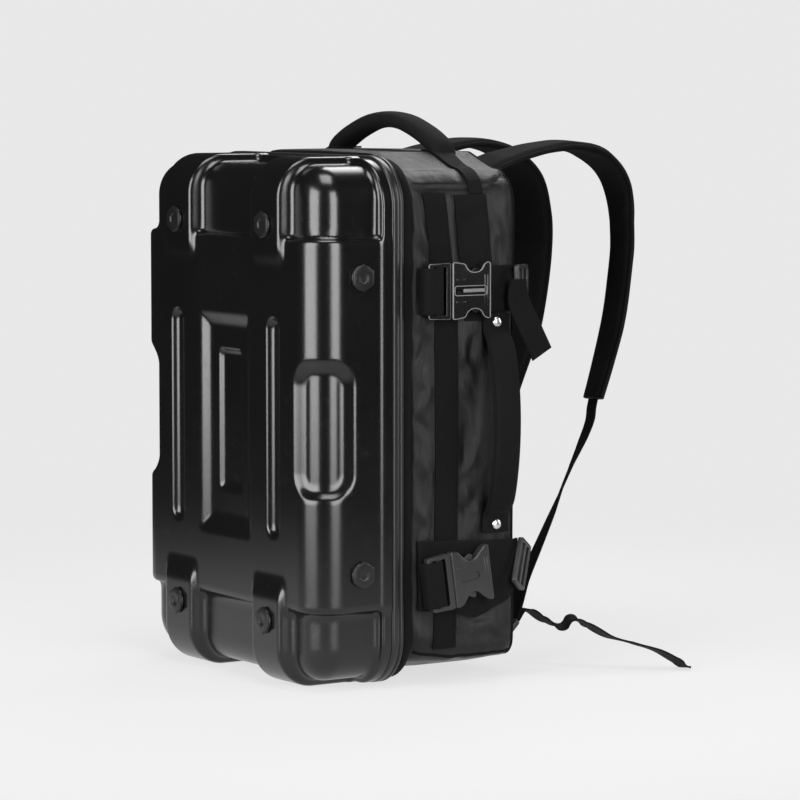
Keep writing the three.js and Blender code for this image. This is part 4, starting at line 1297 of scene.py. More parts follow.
    def build(self) -> None:
        """Makes the bag: a lofted shell with creased walls and a padded back."""
        share, inset, swell = (np.array(column) for column in zip(*self.SECTIONS))
        rows = []
        for back in np.linspace(0, 1 - self.edge / BAG_DEPTH, self.front_rows):
            drawn, out = np.interp(back, share, inset), np.interp(back, share, swell)
            rows.append(self.ring(BAG_FRONT + back * BAG_DEPTH, drawn * self.edge, out * self.swell))
        for turn in np.radians(np.linspace(0, 90, self.back_rows + 1)[1:]):
            short = 1 - math.sin(turn)
            drawn = self.edge * (1 - math.cos(turn))
            rows.append(self.ring(BAG_BACK - self.edge * short, drawn, 0.15 * self.swell * short))
        last = rows[-1]
        centre = np.array([0.0, BAG_BACK, 250.0])
        for size in np.linspace(1, 0.02, 34)[1:]:
            ring = centre + (last - centre) * size
            ring[:, 1] += self.back_pads(ring)
            rows.append(ring)
        points = np.array(rows)
        flat = points.reshape(-1, 3)
        tangent = np.gradient(points, axis=1)
        down = np.gradient(points, axis=0)
        normal = unit(np.cross(tangent, down)).reshape(-1, 3)
        outward = np.sign((normal * (flat - self.CENTRE)).sum(1))[:, None]
        flat += normal * outward * self.puckers(flat)[:, None]
        points = flat.reshape(points.shape)
        points[:, -1] = points[:, 0]
        bag = Bench.grid("soft_bag", points, closed=True, capped=True)
        self.tree = BVHTree.FromObject(bag, bpy.context.evaluated_depsgraph_get())
        self.dress(bag, Finish.RIPSTOP, "bag_body")
        facing = (normal * outward).reshape(points.shape)
        edge = self.front_rows + self.back_rows // 3
        self.piping("back_piping", points[edge], facing[edge], True)
        inside = self.low_back_corner * (1 - math.sqrt(0.5))
        corner = np.array([HALF - 1 - inside, self.side_lift + inside])
        for side, sign in (("right", 1), ("left", -1)):
            column = int(np.argmin(np.abs(points[30][:, [0, 2]] - corner * (sign, 1)).sum(1)))
            path, out = points[2:edge, column], facing[2:edge, column]
            self.piping(f"low_piping_{side}", path, out, False)

    @staticmethod
    def back_pads(ring: np.ndarray) -> np.ndarray:
        """How far the two pads of the bag's back stand out."""
        across = np.clip(1 - np.abs(np.abs(ring[:, 0]) - 46) / 34, 0, 1) ** 0.4
        up = np.clip((175 - np.abs(ring[:, 2] - 232)) / 14, 0, 1) ** 0.5
        return 3.4 * across * up

    def piping(self, name: str, path: np.ndarray, facing: np.ndarray, looped: bool) -> None:
        """Sews a thin cord along one of the bag's edges."""
        side = np.cross(unit(np.gradient(path, axis=0)), facing)
        cord = Bench.cord(name, path, facing, side, self.cord, looped)
        self.dress(cord, Finish.WEBBING)

    def on_wall(self, y: float, z: float, off: float) -> tuple[np.ndarray, np.ndarray]:
        """Finds a point on the right wall."""
        start = Vector((0.4, *metres(np.array([0, y, z]))[1:]))
        return self.hit(start, Vector((-1, 0, 0)), off)

    def hit(self, start: Vector, way: Vector, off: float) -> tuple[np.ndarray, np.ndarray]:
        """Casts a ray at the bag.

        Args:
            start: where it starts, in metres.
            way: its direction.
            off: how far off the cloth the point stands.

        Returns:
            The point that it meets and the direction that the cloth faces there.
        """
        place, normal, _, _ = self.tree.ray_cast(start, way)
        if place is None:
            place, normal, _, _ = self.tree.find_nearest(start)
        point = np.array(place) * 1000 + (0, ORIGIN_BACK, 0)
        facing = np.array(normal)
        if facing @ (point - self.CENTRE) < 0:
            facing = -facing
        return point + facing * off, facing

    def patch(
        self, name: str, edges: Edges, thick: float, off: float, columns: int, rows: int,
        round_edge: float = 0.5,
    ) -> bpy.types.Object:
        """Lays a patch on the right wall.

        Args:
            name: the piece's name.
            edges: for a share along the patch, its two edge points as (back, height).
            thick: its thickness.
            off: how far it stands off the cloth.
            columns: how many points it has across.
            rows: how many points it has along.
            round_edge: the rounding of its edges.

        Returns:
            The patch.
        """
        grid = np.zeros((rows, columns, 3))
        for i in range(rows):
            low, high = edges(i / (rows - 1))
            for j, share in enumerate(np.linspace(0, 1, columns)):
                y, z = low[0] + (high[0] - low[0]) * share, low[1] + (high[1] - low[1]) * share
                grid[i, j] = self.on_wall(y, z, off)[0]
        for _ in range(3):
            around = grid[:-2, 1:-1] + grid[2:, 1:-1] + grid[1:-1, :-2] + grid[1:-1, 2:]
            grid[1:-1, 1:-1] = (grid[1:-1, 1:-1] * 2 + around) / 6
        return self.thicken(name, grid, thick, round_edge)

    def thicken(self, name: str, grid: np.ndarray, thick: float, round_edge: float) -> bpy.types.Object:
        """Makes a sheet of points into a piece with a thickness, standing outwards.

        Args:
            name: the piece's name.
            grid: the points of its inner face.
            thick: its thickness.
            round_edge: the rounding of its edges.

        Returns:
            The piece.
        """
        piece = Bench.grid(name, grid, closed=False, capped=False)
        middle = piece.data.polygons[len(piece.data.polygons) // 2]
        centre = Vector(metres(np.array(self.CENTRE)))
        if middle.normal.dot(middle.center - centre) < 0:
            piece.data.flip_normals()
        Bench.modify(piece, "SOLIDIFY", thickness=thick * 0.001, offset=1.0)
        Bench.bevel(piece, round_edge, 2)
        return Bench.smooth(piece, 50.0)


@dataclass
class RimAndBinding(SubAssembly):
    """The rim frame round the shell's back edge, and the tape that binds it to the bag."""

    front: float = 84.3
    depth: float = 13.0
    proud: float = 1.5
    low: float = 1.0
    corner: float = 47.0
    thick: float = 9.0
    bind_front: float = 97.6
    bind_depth: float = 11.0
    bind_in: float = 3.0
    bind_thick: float = 7.0
    front_round: float = 2.6
    back_round: float = 2.0

    # The groove in the rim's edge: how deep, and how far behind the rim's front, each of its points lies
    GROOVE = ((0, 7.0), (0.25, 7.4), (1.1, 7.8), (1.1, 8.6), (0.25, 9.0), (0, 9.4))

    def outline(self, inset: float, steps: int, straight: int) -> np.ndarray:
        """The rim's outline, drawn in."""
        low, high = self.low + inset, HEIGHT + self.low - inset
        return ring_outline(HALF + self.proud - inset, low, high, self.corner - inset, steps, straight)

    def hoop(self, name: str, section: Sequence[tuple[float, float]]) -> bpy.types.Object:
        """A closed hoop with a given section.

        Args:
            name: the piece's name.
            section: how far in and how far back each of its points lies.

        Returns:
            The hoop.
        """
        columns = []
        for inset, y in [*section, section[0]]:
            ring = self.outline(inset, 22, 40)
            columns.append(np.stack([ring[:, 0], np.full(len(ring), y), ring[:, 1]], axis=1))
        points = np.stack(columns, axis=1)
        points = np.concatenate([points, points[:1]])
        return Bench.grid(name, points, closed=True, capped=False, looped=True)

    def build(self) -> None:
        """Makes the rim, the binding and its stitches."""
        f, b, t = self.front, self.front + self.depth, self.thick
        turn = np.radians(np.linspace(0, 90, 6))
        r = self.front_round
        outer = [(r - r * math.sin(a), f + r - r * math.cos(a)) for a in turn]
        groove = [(inset, f + back) for inset, back in self.GROOVE]
        r = self.back_round
        back = [(r - r * math.cos(a), b - r + r * math.sin(a)) for a in turn]
        rim = self.hoop("rim_hoop", [(t, f), *outer, *groove, *back, (t, b)])
        self.dress(Bench.smooth(rim, 50.0), Finish.RIM, "rim_frame")
        f, b = self.bind_front, self.bind_front + self.bind_depth
        low, high = self.bind_in, self.bind_in + self.bind_thick
        bulge = [(low + 1.9 * abs(math.cos(a)) ** 2.4, f + self.bind_depth * (0.5 - 0.5 * math.cos(a)))
                 for a in np.radians(np.linspace(0, 180, 15))]
        binding = self.hoop("binding_tape", [(high, f), *bulge, (high, b)])
        self.dress(Bench.smooth(binding, 50.0), Finish.BINDING, "edge_binding")
        lines = []
        for y in (f + 2.6, b - 2.4):
            ring = self.outline(low + 0.55, 30, 60)
            path = np.stack([ring[:, 0], np.full(len(ring), y), ring[:, 1]], axis=1)
            facing = unit(np.cross(np.gradient(path, axis=0), (0, 1, 0)))
            facing *= np.sign((facing * (path - (0, y, 250))).sum(1))[:, None]
            lines.append((path, facing))
        self.dress(Thread.sew("binding_stitches", lines, 3.4, 1.5), Finish.WEBBING)


@dataclass
class Bolts(SubAssembly):
    """The washer headed bolts of the feet and of the shell's sides."""

    radius: float = 13.5

    # Each bolt of the right side: its node, its place and the direction that it faces
    PLACES = (
        ("foot_bolt_low_right", (82.0, -5.3, 63.0), (0, -1, 0)),
        ("foot_bolt_high_right", (82.0, -5.3, 437.0), (0, -1, 0)),
        ("side_bolt_low_right", (165.3, 51.0, 111.0), (1, 0, 0)),
        ("side_bolt_high_right", (165.3, 51.0, 389.0), (1, 0, 0)),
    )

    def drum(self, name: str, sides: int, wide: float, height: float, middle: float) -> bpy.types.Object:
        """A cylinder or a prism that stands along Z.

        Args:
            name: its name.
            sides: how many sides it has.
            wide: its radius as a share of the bolt's.
            height: its height in millimetres.
            middle: the height of its middle.

        Returns:
            The drum.
        """
        Bench.clear()
        radius = self.radius * wide * 0.001
        bpy.ops.mesh.primitive_cylinder_add(
            vertices=sides, radius=radius, depth=height * 0.001, location=(0, 0, middle * 0.001)
        )
        return Bench.named(name)

    def head(self) -> bpy.types.Object:
        """One bolt head that stands up along Z on its own zero.

        Returns:
            The head.
        """
        washer = self.drum("bolt_washer", 48, 0.9, 2.2, 1.1)
        Bench.bevel(washer, 0.9, 3)
        nut = self.drum("bolt_hexagon", 6, 0.96, 3.4, 2.1)
        bpy.ops.object.mode_set(mode="EDIT")
        bpy.ops.mesh.select_mode(type="FACE")
        bpy.ops.mesh.select_all(action="DESELECT")
        bpy.ops.object.mode_set(mode="OBJECT")
        for polygon in nut.data.polygons:
            polygon.select = polygon.normal.z > 0.9
        bpy.ops.object.mode_set(mode="EDIT")
        bpy.ops.mesh.inset(thickness=0.0064, depth=0)
        bpy.ops.mesh.inset(thickness=0.0005, depth=-0.0011)
        bpy.ops.object.mode_set(mode="OBJECT")
        Bench.bevel(nut, 0.7, 3)
        return Bench.smooth(Bench.join("bolt", [washer, nut]), 40.0)

    def build(self) -> None:
        """Makes all eight bolts."""
        model = self.head()
        for name, place, facing in self.PLACES:
            copy = model.copy()
            copy.data = model.data.copy()
            copy.name = name.replace("bolt", "screw")
            bpy.context.scene.collection.objects.link(copy)
            turn = Vector(facing).to_track_quat("Z", "Y").to_matrix().to_4x4()
            Bench.move(copy, moved_to(*place) @ turn)
            self.dress(copy, Finish.BOLT, name)
            other = Bench.mirrored(copy, copy.name.replace("right", "left"))
            self.dress(other, Finish.BOLT, name.replace("right", "left"))
        bpy.data.objects.remove(model)


@dataclass
class BagPanels(SubAssembly):
    """Webbing, matte panels and tabs that are sewn flat on the bag."""

    web_in: float = 22.5
    web_width: float = 25.0
    web_low: float = 34.0
    web_drop: float = 38.0
    web_bend: float = 154.0
    web_lean: float = 12.0
    panel_in: float = 55.0
    panel_width: float = 34.0
    panel_length: float = 119.0
    tab_width: float = 27.0
    tab_drop: float = 40.0
    tab_inside: float = 73.0
    handle_in: float = 44.5

    def build(self, bag: SoftBag) -> None:
        """Makes the panels of both sides.

        Args:
            bag: the bag that they lie on.
        """
        top = bag.top
        front = BAG_FRONT + self.web_in
        low, bend, high = self.web_low, top - self.web_bend, top - self.web_drop

        def lean(z: float) -> float:
            """How far the webbing leans to the front at a height."""
            return self.web_lean * max(z - bend, 0.0) / (high - bend)

        def web_edges(t: float) -> tuple[tuple[float, float], tuple[float, float]]:
            """The webbing's two edges at a share of its length."""
            z = low + (high - low) * t
            return ((front - lean(z), z), (front + self.web_width - lean(z), z))

        web = bag.patch("side_web", web_edges, 1.8, 0.4, 8, 150)
        self.pair(web, Finish.WEBBING, "side_webbing")
        back, end = BAG_FRONT + self.panel_in, top - self.tab_drop
        start = end - self.panel_length

        def panel_edges(t: float) -> tuple[tuple[float, float], tuple[float, float]]:
            """The panel's two edges at a share of its height."""
            z = start + (end - start) * t
            return ((back - 0.8 * lean(z), z), (back + self.panel_width + 3.0 - 0.8 * lean(z), z))

        panel = bag.patch("matte_panel", panel_edges, 1.6, 0.4, 10, 40, 0.7)
        self.pair(panel, Finish.PADDING, "side_panel")
        middle = BAG_BACK - self.handle_in
        angles = np.radians(np.linspace(90, 0, 34))
        grid = np.zeros((len(angles), 8, 3))
        for i, angle in enumerate(angles):
            low_share = i / (len(angles) - 1)
            for j, share in enumerate(np.linspace(-0.5, 0.5, 8)):
                across = middle - 10.0 * low_share + share * self.tab_width * (1 - 0.45 * low_share)
                start_at = np.array([self.tab_inside, across, top - self.tab_drop])
                way = Vector((math.cos(angle), 0, math.sin(angle)))
                grid[i, j] = bag.hit(Vector(metres(start_at)), way, 0.4)[0]
        tab = bag.thicken("handle_band", grid, 1.8, 0.5)
        self.pair(tab, Finish.WEBBING, "handle_tab")
        lines = []
        for side in (front + 2.2, front + self.web_width - 2.2):
            levels = np.linspace(low + 3, high - 3, 180)
            lines.append(self.seam([bag.on_wall(side - lean(z), z, 2.35)[0] for z in levels]))
        for side in (back + 2.5, back + self.panel_width + 0.5):
            levels = np.linspace(start + 3, end - 3, 60)
            lines.append(self.seam([bag.on_wall(side - 0.8 * lean(z), z, 2.1)[0] for z in levels]))
        self.pair(Thread.sew("panel_stitches", lines), Finish.WEBBING)

    @staticmethod
    def seam(points: Sequence[np.ndarray]) -> tuple[np.ndarray, np.ndarray]:
        """A line of stitches on the right wall: its points and the direction that it faces."""
        return np.array(points), np.tile((1.0, 0.0, 0.0), (len(points), 1))


class BuckleStyle(Enum):
    """The two side release buckles."""

    UPPER = "upper"
    LOWER = "lower"


@dataclass
class Hardware:
    """Side release buckles, sliders and ladder locks."""

    height: float = 54.0
    body: float = 44.0
    plug: float = 26.0
    thick: float = 9.0
    lock_thick: float = 5.0
    lock_length: float = 28.0
    lock_bar: float = 4.0
    bead: float = 0.5

    # The buckles' half outlines: back as a share of the body's length, height over its half, and rounding
    UPPER_HALF = (
        (1, -1, 1.5), (0.93, 0, 1), (0.82, -2, 2), (0.74, -8.5, 4), (0.56, -10, 4), (0.42, -7.5, 3),
        (0.34, -1.5, 2), (0.12, 0, 1),
    )
    LOWER_HALF = (
        (1, 0, 2.5), (0.88, -0.5, 2), (0.72, -6, 5), (0.6, -11.5, 4), (0.42, -12, 4), (0.3, -6, 4),
        (0.2, -1, 2), (0.1, 0, 1),
    )
    SLOT = ((3.0, -4.2), (39.0, 4.2))

    @staticmethod
    def bar(
        name: str, low: Sequence[float], high: Sequence[float], bevel: float, steps: int = 2
    ) -> bpy.types.Object:
        """A small bar with rounded edges."""
        corners = np.array([low, high]) + (0.0, ORIGIN_BACK, 0.0)
        return Bench.bevel(Bench.block(name, *corners), bevel, steps)

    @staticmethod
    def hole(
        low: tuple[float, float], high: tuple[float, float], from_x: float, to_x: float, round_by: float
    ) -> bpy.types.Object:
        """A cutter for a slot with rounded corners."""
        corners = [low, (high[0], low[1]), high, (low[0], high[1])]
        cutter = Bench.plate("slot_cutter", rounded_corners(corners, round_by, 4), to_x - from_x)
        return Bench.move(cutter, outwards(from_x))

    def body_outline(self, style: BuckleStyle) -> list[tuple[float, float]]:
        """The outline of a buckle's body.

        Args:
            style: which buckle it is.

        Returns:
            The outline, from its front edge.
        """
        table, mouth = (self.UPPER_HALF, 2.0) if style is BuckleStyle.UPPER else (self.LOWER_HALF, 2.5)
        half = self.height / 2
        upper = [*((self.body * share, half + over_half) for share, over_half, _ in table), (GAP, half)]
        radii = [*(rounding for _, _, rounding in table), mouth]
        lower = [(y, -z) for y, z in reversed(upper)]
        return rounded_corners([*upper, *lower], [*radii, *reversed(radii)], 5)

    def body_piece(self, style: BuckleStyle) -> bpy.types.Object:
        """A buckle's body, standing along X from zero, from its front edge backwards.

        Args:
            style: which buckle it is.

        Returns:
            The body.
        """
        t, past = self.thick, self.thick + 2
        body = Bench.plate("buckle_shell", self.body_outline(style), t)
        Bench.bevel(body, 1.7, 4)
        if style is BuckleStyle.UPPER:
            Bench.carve(body, self.hole(*self.SLOT, t - 1.6, past, 2.5))
            Bench.carve(body, self.hole((5.0, -1.8), (12.0, 1.8), t - 5, past, 1.2))
        else:
            Bench.carve(body, self.hole((8.0, -4.0), (30.0, 4.0), t - 1.0, past, 3.5))
        Bench.carve(body, self.hole((-1.0, -19.5), (6.0, 19.5), 2.2, t - 2.2, 1.0))
        parts = [body]
        if style is BuckleStyle.UPPER:
            parts.append(self.bar("slot_bar", (t - 1.7, 13.5, -1.6), (t - 0.2, 37.5, 1.6), 0.7, 3))
        for z in (-10.5, 10.5):
            parts.append(self.bar("rib", (t - 0.4, 4.5, z - 0.8), (t + 0.35, 15, z + 0.8), 0.35))
        for y in (self.body - 7.5, self.body - 4.5):
            parts.append(self.bar("rib", (t - 0.4, y, -15), (t + 0.3, y + 1.2, 15), 0.35))
        return Bench.smooth(Bench.join("buckle_body", parts), 35.0)

    def plug_piece(self, style: BuckleStyle) -> bpy.types.Object:
        """A buckle's plug with its bars and prongs.

        Args:
            style: which buckle it is.

        Returns:
            The plug.
        """
        half, p, t = self.height / 2, self.plug, self.thick
        corners = [(-p, -half + 1), (-3, -half), (0, -half + 1), (0, half - 1), (-3, half), (-p, half - 1)]
        frame_piece = Bench.plate("plug_frame", rounded_corners(corners, [3.5, 2, 1, 1, 2, 3.5], 5), t - 2)
        Bench.move(frame_piece, outwards(1.0))
        for first in (-p + 5, -p + 15):
            Bench.carve(frame_piece, self.hole((first, -half + 4.2), (first + 5, half - 4.2), -1, t + 2, 1.4))
        Bench.bevel(frame_piece, 1.1, 3)
        parts = [frame_piece]
        reach = self.body * (0.74 if style is BuckleStyle.UPPER else 0.6)
        for sign in (1, -1):
            prong = [
                (-1.0, 13.0), (8.0, 14.0), (reach - 11, half - 9.5), (reach - 3, half - 5.2),
                (reach - 0.5, half - 8), (reach - 2, half - 12.5), (reach - 14, 10.5), (-1.0, 9.0),
            ]
            outline = rounded_corners([(y, z * sign) for y, z in prong], 2.4, 4)
            arm = Bench.plate("prong", outline, 4.2)
            Bench.outward(Bench.move(arm, outwards(2.4)))
            parts.append(Bench.bevel(arm, 0.9, 3))
        return Bench.smooth(Bench.join("buckle_plug", parts), 35.0)

    def painted_highlights(self, style: BuckleStyle) -> bpy.types.Object:
        """Painted highlights on a buckle's edges: light beads round its body, its plug and its slot, and a
        light bar over its slot.

        Args:
            style: which buckle it is.

        Returns:
            The painted highlight beads and bar as one piece.
        """
        half, p, level = self.height / 2, self.plug, self.thick - 0.45
        plug = rounded_corners([(-p, -half + 1), (-1, -half), (-1, half), (-p, half - 1)], 3.0, 5)
        (near, low), (far, high) = self.SLOT
        slot = rounded_corners([(near, low), (far, low), (far, high), (near, high)], 2.5, 5)
        rims = ((self.body_outline(style), 0.5, level), (plug, 0.5, level - 1.0), (slot, -0.3, level + 0.2))
        # Light beads along the outlines: painted highlights on the glossy edges.
        beads = []
        for outline, inset, out in rims:
            flat = np.array(outline)
            flat = flat[np.linalg.norm(flat - np.roll(flat, 1, axis=0), axis=1) > 0.05]
            way = unit(np.roll(flat, -1, axis=0) - np.roll(flat, 1, axis=0))
            winding = np.sum(flat[:, 0] * np.roll(flat[:, 1], -1) - flat[:, 1] * np.roll(flat[:, 0], -1))
            inward = np.stack([-way[:, 1], way[:, 0]], axis=1) * np.sign(winding)
            flat = flat + inward * inset
            path = np.stack([np.full(len(flat), out), ORIGIN_BACK + flat[:, 0], flat[:, 1]], axis=1)
            aside = np.stack([np.zeros(len(flat)), inward[:, 0], inward[:, 1]], axis=1)
            path, aside = (np.concatenate([rows, rows[:1]]) for rows in (path, aside))
            forward = np.tile((1.0, 0.0, 0.0), (len(path), 1))
            beads.append(Bench.cord("highlight_bead", path, forward, aside, self.bead, True))
        t = self.thick
        # A light bar over the slot's bar: a painted highlight.
        beads.append(self.bar("slot_bar", (t - 1.6, 13.0, -1.7), (t - 0.05, 37.8, 1.7), 0.7, 3))
        return Bench.smooth(Bench.join("buckle_highlight_beads", beads), 50.0)

    def slider(self, height: float) -> bpy.types.Object:
        """A slider or ladder lock: a frame with two slots, flat in the YZ plane, standing along X.

        Args:
            height: its height in millimetres.

        Returns:
            The slider.
        """
        h, half, bar, t = height / 2, self.lock_length / 2, self.lock_bar, self.lock_thick
        corners = [(-half, -h), (half, -h), (half, h), (-half, h)]
        lock = Bench.plate("slider_frame", rounded_corners(corners, 3.5, 6), t)
        for low, high in ((-half + bar, -bar / 2), (bar / 2, half - bar)):
            Bench.carve(lock, self.hole((low, -h + bar), (high, h - bar), -1, t + 1, 1.4))
        Bench.bevel(lock, 1.0, 3)
        parts = [lock]
        for y in (-half + 1.1, half - 2.3):
            parts.append(self.bar("tooth", (t - 0.4, y, -h + 5), (t + 0.5, y + 1.2, h - 5), 0.4))
        return Bench.smooth(Bench.join("slider", parts), 35.0)


@dataclass
class CompressionStraps(SubAssembly):
    """The upper and lower straps of each side, with their buckles, sliders and the hanging tail."""

    strap_in: float = 5.0
    length: float = 113.0
    height: float = 44.0
    buckle_in: float = 32.5
    upper: float = 374.5
    lower: float = 101.0
    lower_turn: float = 8.0
    wing_length: float = 117.0
    wing_height: float = 76.0
    facing: float = 35.0
    wall_out: float = 168.0
    layer: float = 2.1
    corner_round: float = 25.0
    upper_slider: float = 34.0
    lower_slider: float = 46.0
    lower_slider_turn: float = -27.0
    upper_slider_rise: float = 5.0
    lower_slider_rise: float = 8.0
    tail_width: float = 25.0
    tail_length: float = 75.0

    # The webbing round the plug's bars, seen from above: out from the buckle's back and back from its front
    LOOP = (
        (-3.2, -27.9), (1.0, -28.3), (6.0, -28.2), (9.0, -26.0), (9.6, -22.0), (9.6, -15.0),
        (9.2, -11.5), (6.0, -9.7), (1.5, -9.7), (-0.8, -11.5), (-1.6, -17.0), (-2.0, -24.0),
    )

    # The hanging tail: how far out, back and down as shares, and its width as a share
    SHORT_TAIL = (
        (0.46, -0.12, -0.12, 0.7), (0.46, -0.12, 0.14, 1.0), (0.47, 0.05, 0.49, 1.0), (0.45, 0.25, 0.85, 1.0),
    )

    # The wing's upper and lower edge: back and up from the buckle's height, as shares of its size
    WING_TOP = ((0.0, 0.5), (0.53, 0.46), (1.0, 0.42))
    WING_LOW = ((0.0, -0.38), (0.31, -0.41), (0.53, -0.53), (0.85, -0.33), (0.99, -0.07))

    def on_corner(self, distance: float) -> np.ndarray:
        """A point off the bag's back corner, seen from above."""
        middle, turn = distance - self.corner_round, math.radians(self.facing)
        reach = self.corner_round + 2 * GAP
        out, back = middle + reach * math.cos(turn), middle + reach * math.sin(turn)
        return np.array([HALF - 1 + out, BAG_BACK + back, 0.0])

    def loop(self, name: str, out: float, turn: float, up: float) -> bpy.types.Object:
        """The webbing that comes from the seam, passes round the plug's bar and goes back under itself."""
        strap = Strap([Row((out + x, y, 0.0)) for x, y in self.LOOP], (0, 0, 1))
        piece = strap.build(name, self.height, WEB_THICK, 60)
        to_zero = Matrix.Translation((0, ORIGIN_BACK * 0.001, 0))
        return Bench.move(piece, moved_to(0, BAG_FRONT + self.buckle_in, up) @ turned(turn, "X") @ to_zero)

    @staticmethod
    def strip(start: float, length: float, low: float, high: float) -> Edges:
        """The two edges of a level strip, for a patch."""
        return lambda t: ((start + length * t, low), (start + length * t, high))

    def build(self, bag: SoftBag, hardware: Hardware) -> None:
        """Makes the straps of both sides.

        Args:
            bag: the bag that they lie on.
            hardware: makes the buckles and sliders.
        """
        start = BAG_FRONT + self.strap_in
        low, high = self.upper - self.height / 2, self.upper + self.height / 2
        flat = bag.patch("flat", self.strip(start, self.length, low, high), WEB_THICK, 2.4, 12, 60)
        out = self.wall_out + 2 * self.layer + GAP
        strap = Bench.join("upper_web", [flat, self.loop("loop", out, 0.0, self.upper)])
        self.pair(Bench.smooth(strap, 50.0), Finish.WEBBING, "upper_strap")
        self.buckle(BuckleStyle.UPPER, out, 0.0, self.upper, hardware)
        seat = self.on_corner(2 * self.layer)
        slider = hardware.slider(self.upper_slider)
        place = seat + (0, 0, self.upper + self.upper_slider_rise)
        Bench.move(slider, moved_to(*place) @ turned(self.facing, "Z"))
        slider.name = "strap_slider"
        self.pair(slider, Finish.BUCKLE, "upper_slider")
        reach = np.array([hardware.lock_length, self.tail_length, -self.tail_length])
        top = np.array([seat[0], seat[1], self.upper])
        rows = [Row(tuple(top + reach * shares), wide=wide) for *shares, wide in self.SHORT_TAIL]
        tail = Strap(rows, (0, 0.87, 0.49)).build("short_tail", self.tail_width, WEB_THICK, 40)
        self.pair(tail, Finish.WEBBING, "upper_tail")
        self.lower_side(bag, hardware)

    def lower_side(self, bag: SoftBag, hardware: Hardware) -> None:
        """Makes the wing, its strap, buckle and slider.

        Args:
            bag: the bag that they lie on.
            hardware: makes the buckle and slider.
        """
        start = BAG_FRONT + self.strap_in
        tops, lows = np.array(self.WING_TOP), np.array(self.WING_LOW)

        def edges(t: float) -> tuple[tuple[float, float], tuple[float, float]]:
            """The wing's lower and upper edge at a share of its length."""
            y = start + t * self.wing_length
            below = np.interp(t, lows[:, 0], lows[:, 1]) + 0.16 * (max(t - 0.93, 0.0) / 0.07) ** 2
            above = np.interp(t, tops[:, 0], tops[:, 1])
            return ((y, self.lower + below * self.wing_height), (y, self.lower + above * self.wing_height))

        wing = bag.patch("side_wing", edges, 2.5, 2.4, 26, 44, 0.9)
        self.pair(wing, Finish.PADDING, "hip_wing")
        above = self.layer + GAP + 2.5 + GAP
        out = self.wall_out + above + self.layer
        low, high = self.lower - self.height / 2, self.lower + self.height / 2
        length = BAG_FRONT + self.buckle_in - 8.6 - start
        flat = bag.patch("flat", self.strip(start, length, low, high), WEB_THICK, above, 12, 12)
        strap = Bench.join("lower_web", [flat, self.loop("loop", out, self.lower_turn, self.lower)])
        self.pair(Bench.smooth(strap, 50.0), Finish.WEBBING, "hip_strap")
        self.buckle(BuckleStyle.LOWER, out, self.lower_turn, self.lower, hardware)
        seat = self.on_corner(above - GAP)
        slider = hardware.slider(self.lower_slider)
        turn = turned(self.facing, "Z") @ turned(self.lower_slider_turn, "X")
        place = seat + (0, 0, self.lower + self.lower_slider_rise)
        Bench.move(slider, moved_to(*place) @ turn)
        slider.name = "wing_slider"
        self.pair(slider, Finish.BUCKLE, "hip_slider")

    def buckle(self, style: BuckleStyle, out: float, turn: float, up: float, hardware: Hardware) -> None:
        """Makes a buckle on each side.

        Args:
            style: which buckle it is.
            out: how far out it starts.
            turn: its turn in degrees.
            up: its height.
            hardware: makes its pieces.
        """
        move = moved_to(out, BAG_FRONT + self.buckle_in, up) @ turned(turn, "X")
        for part, maker in (("plug", hardware.plug_piece), ("body", hardware.body_piece)):
            piece = Bench.move(maker(style), move)
            piece.name = f"{style.value}_clip_{part}"
            finish = Finish.GLOSSY_BUCKLE if style is BuckleStyle.UPPER else Finish.BUCKLE
            self.pair(piece, finish, f"{style.value}_buckle_{part}")
        # The upper buckle also gets light beads and a light slot bar: painted highlights on its edges.
        if style is BuckleStyle.UPPER:
            painted_highlights = Bench.move(hardware.painted_highlights(style), move)
            painted_highlights.name = "buckle_painted_highlights"
            self.pair(painted_highlights, Finish.EDGE_HIGHLIGHT)


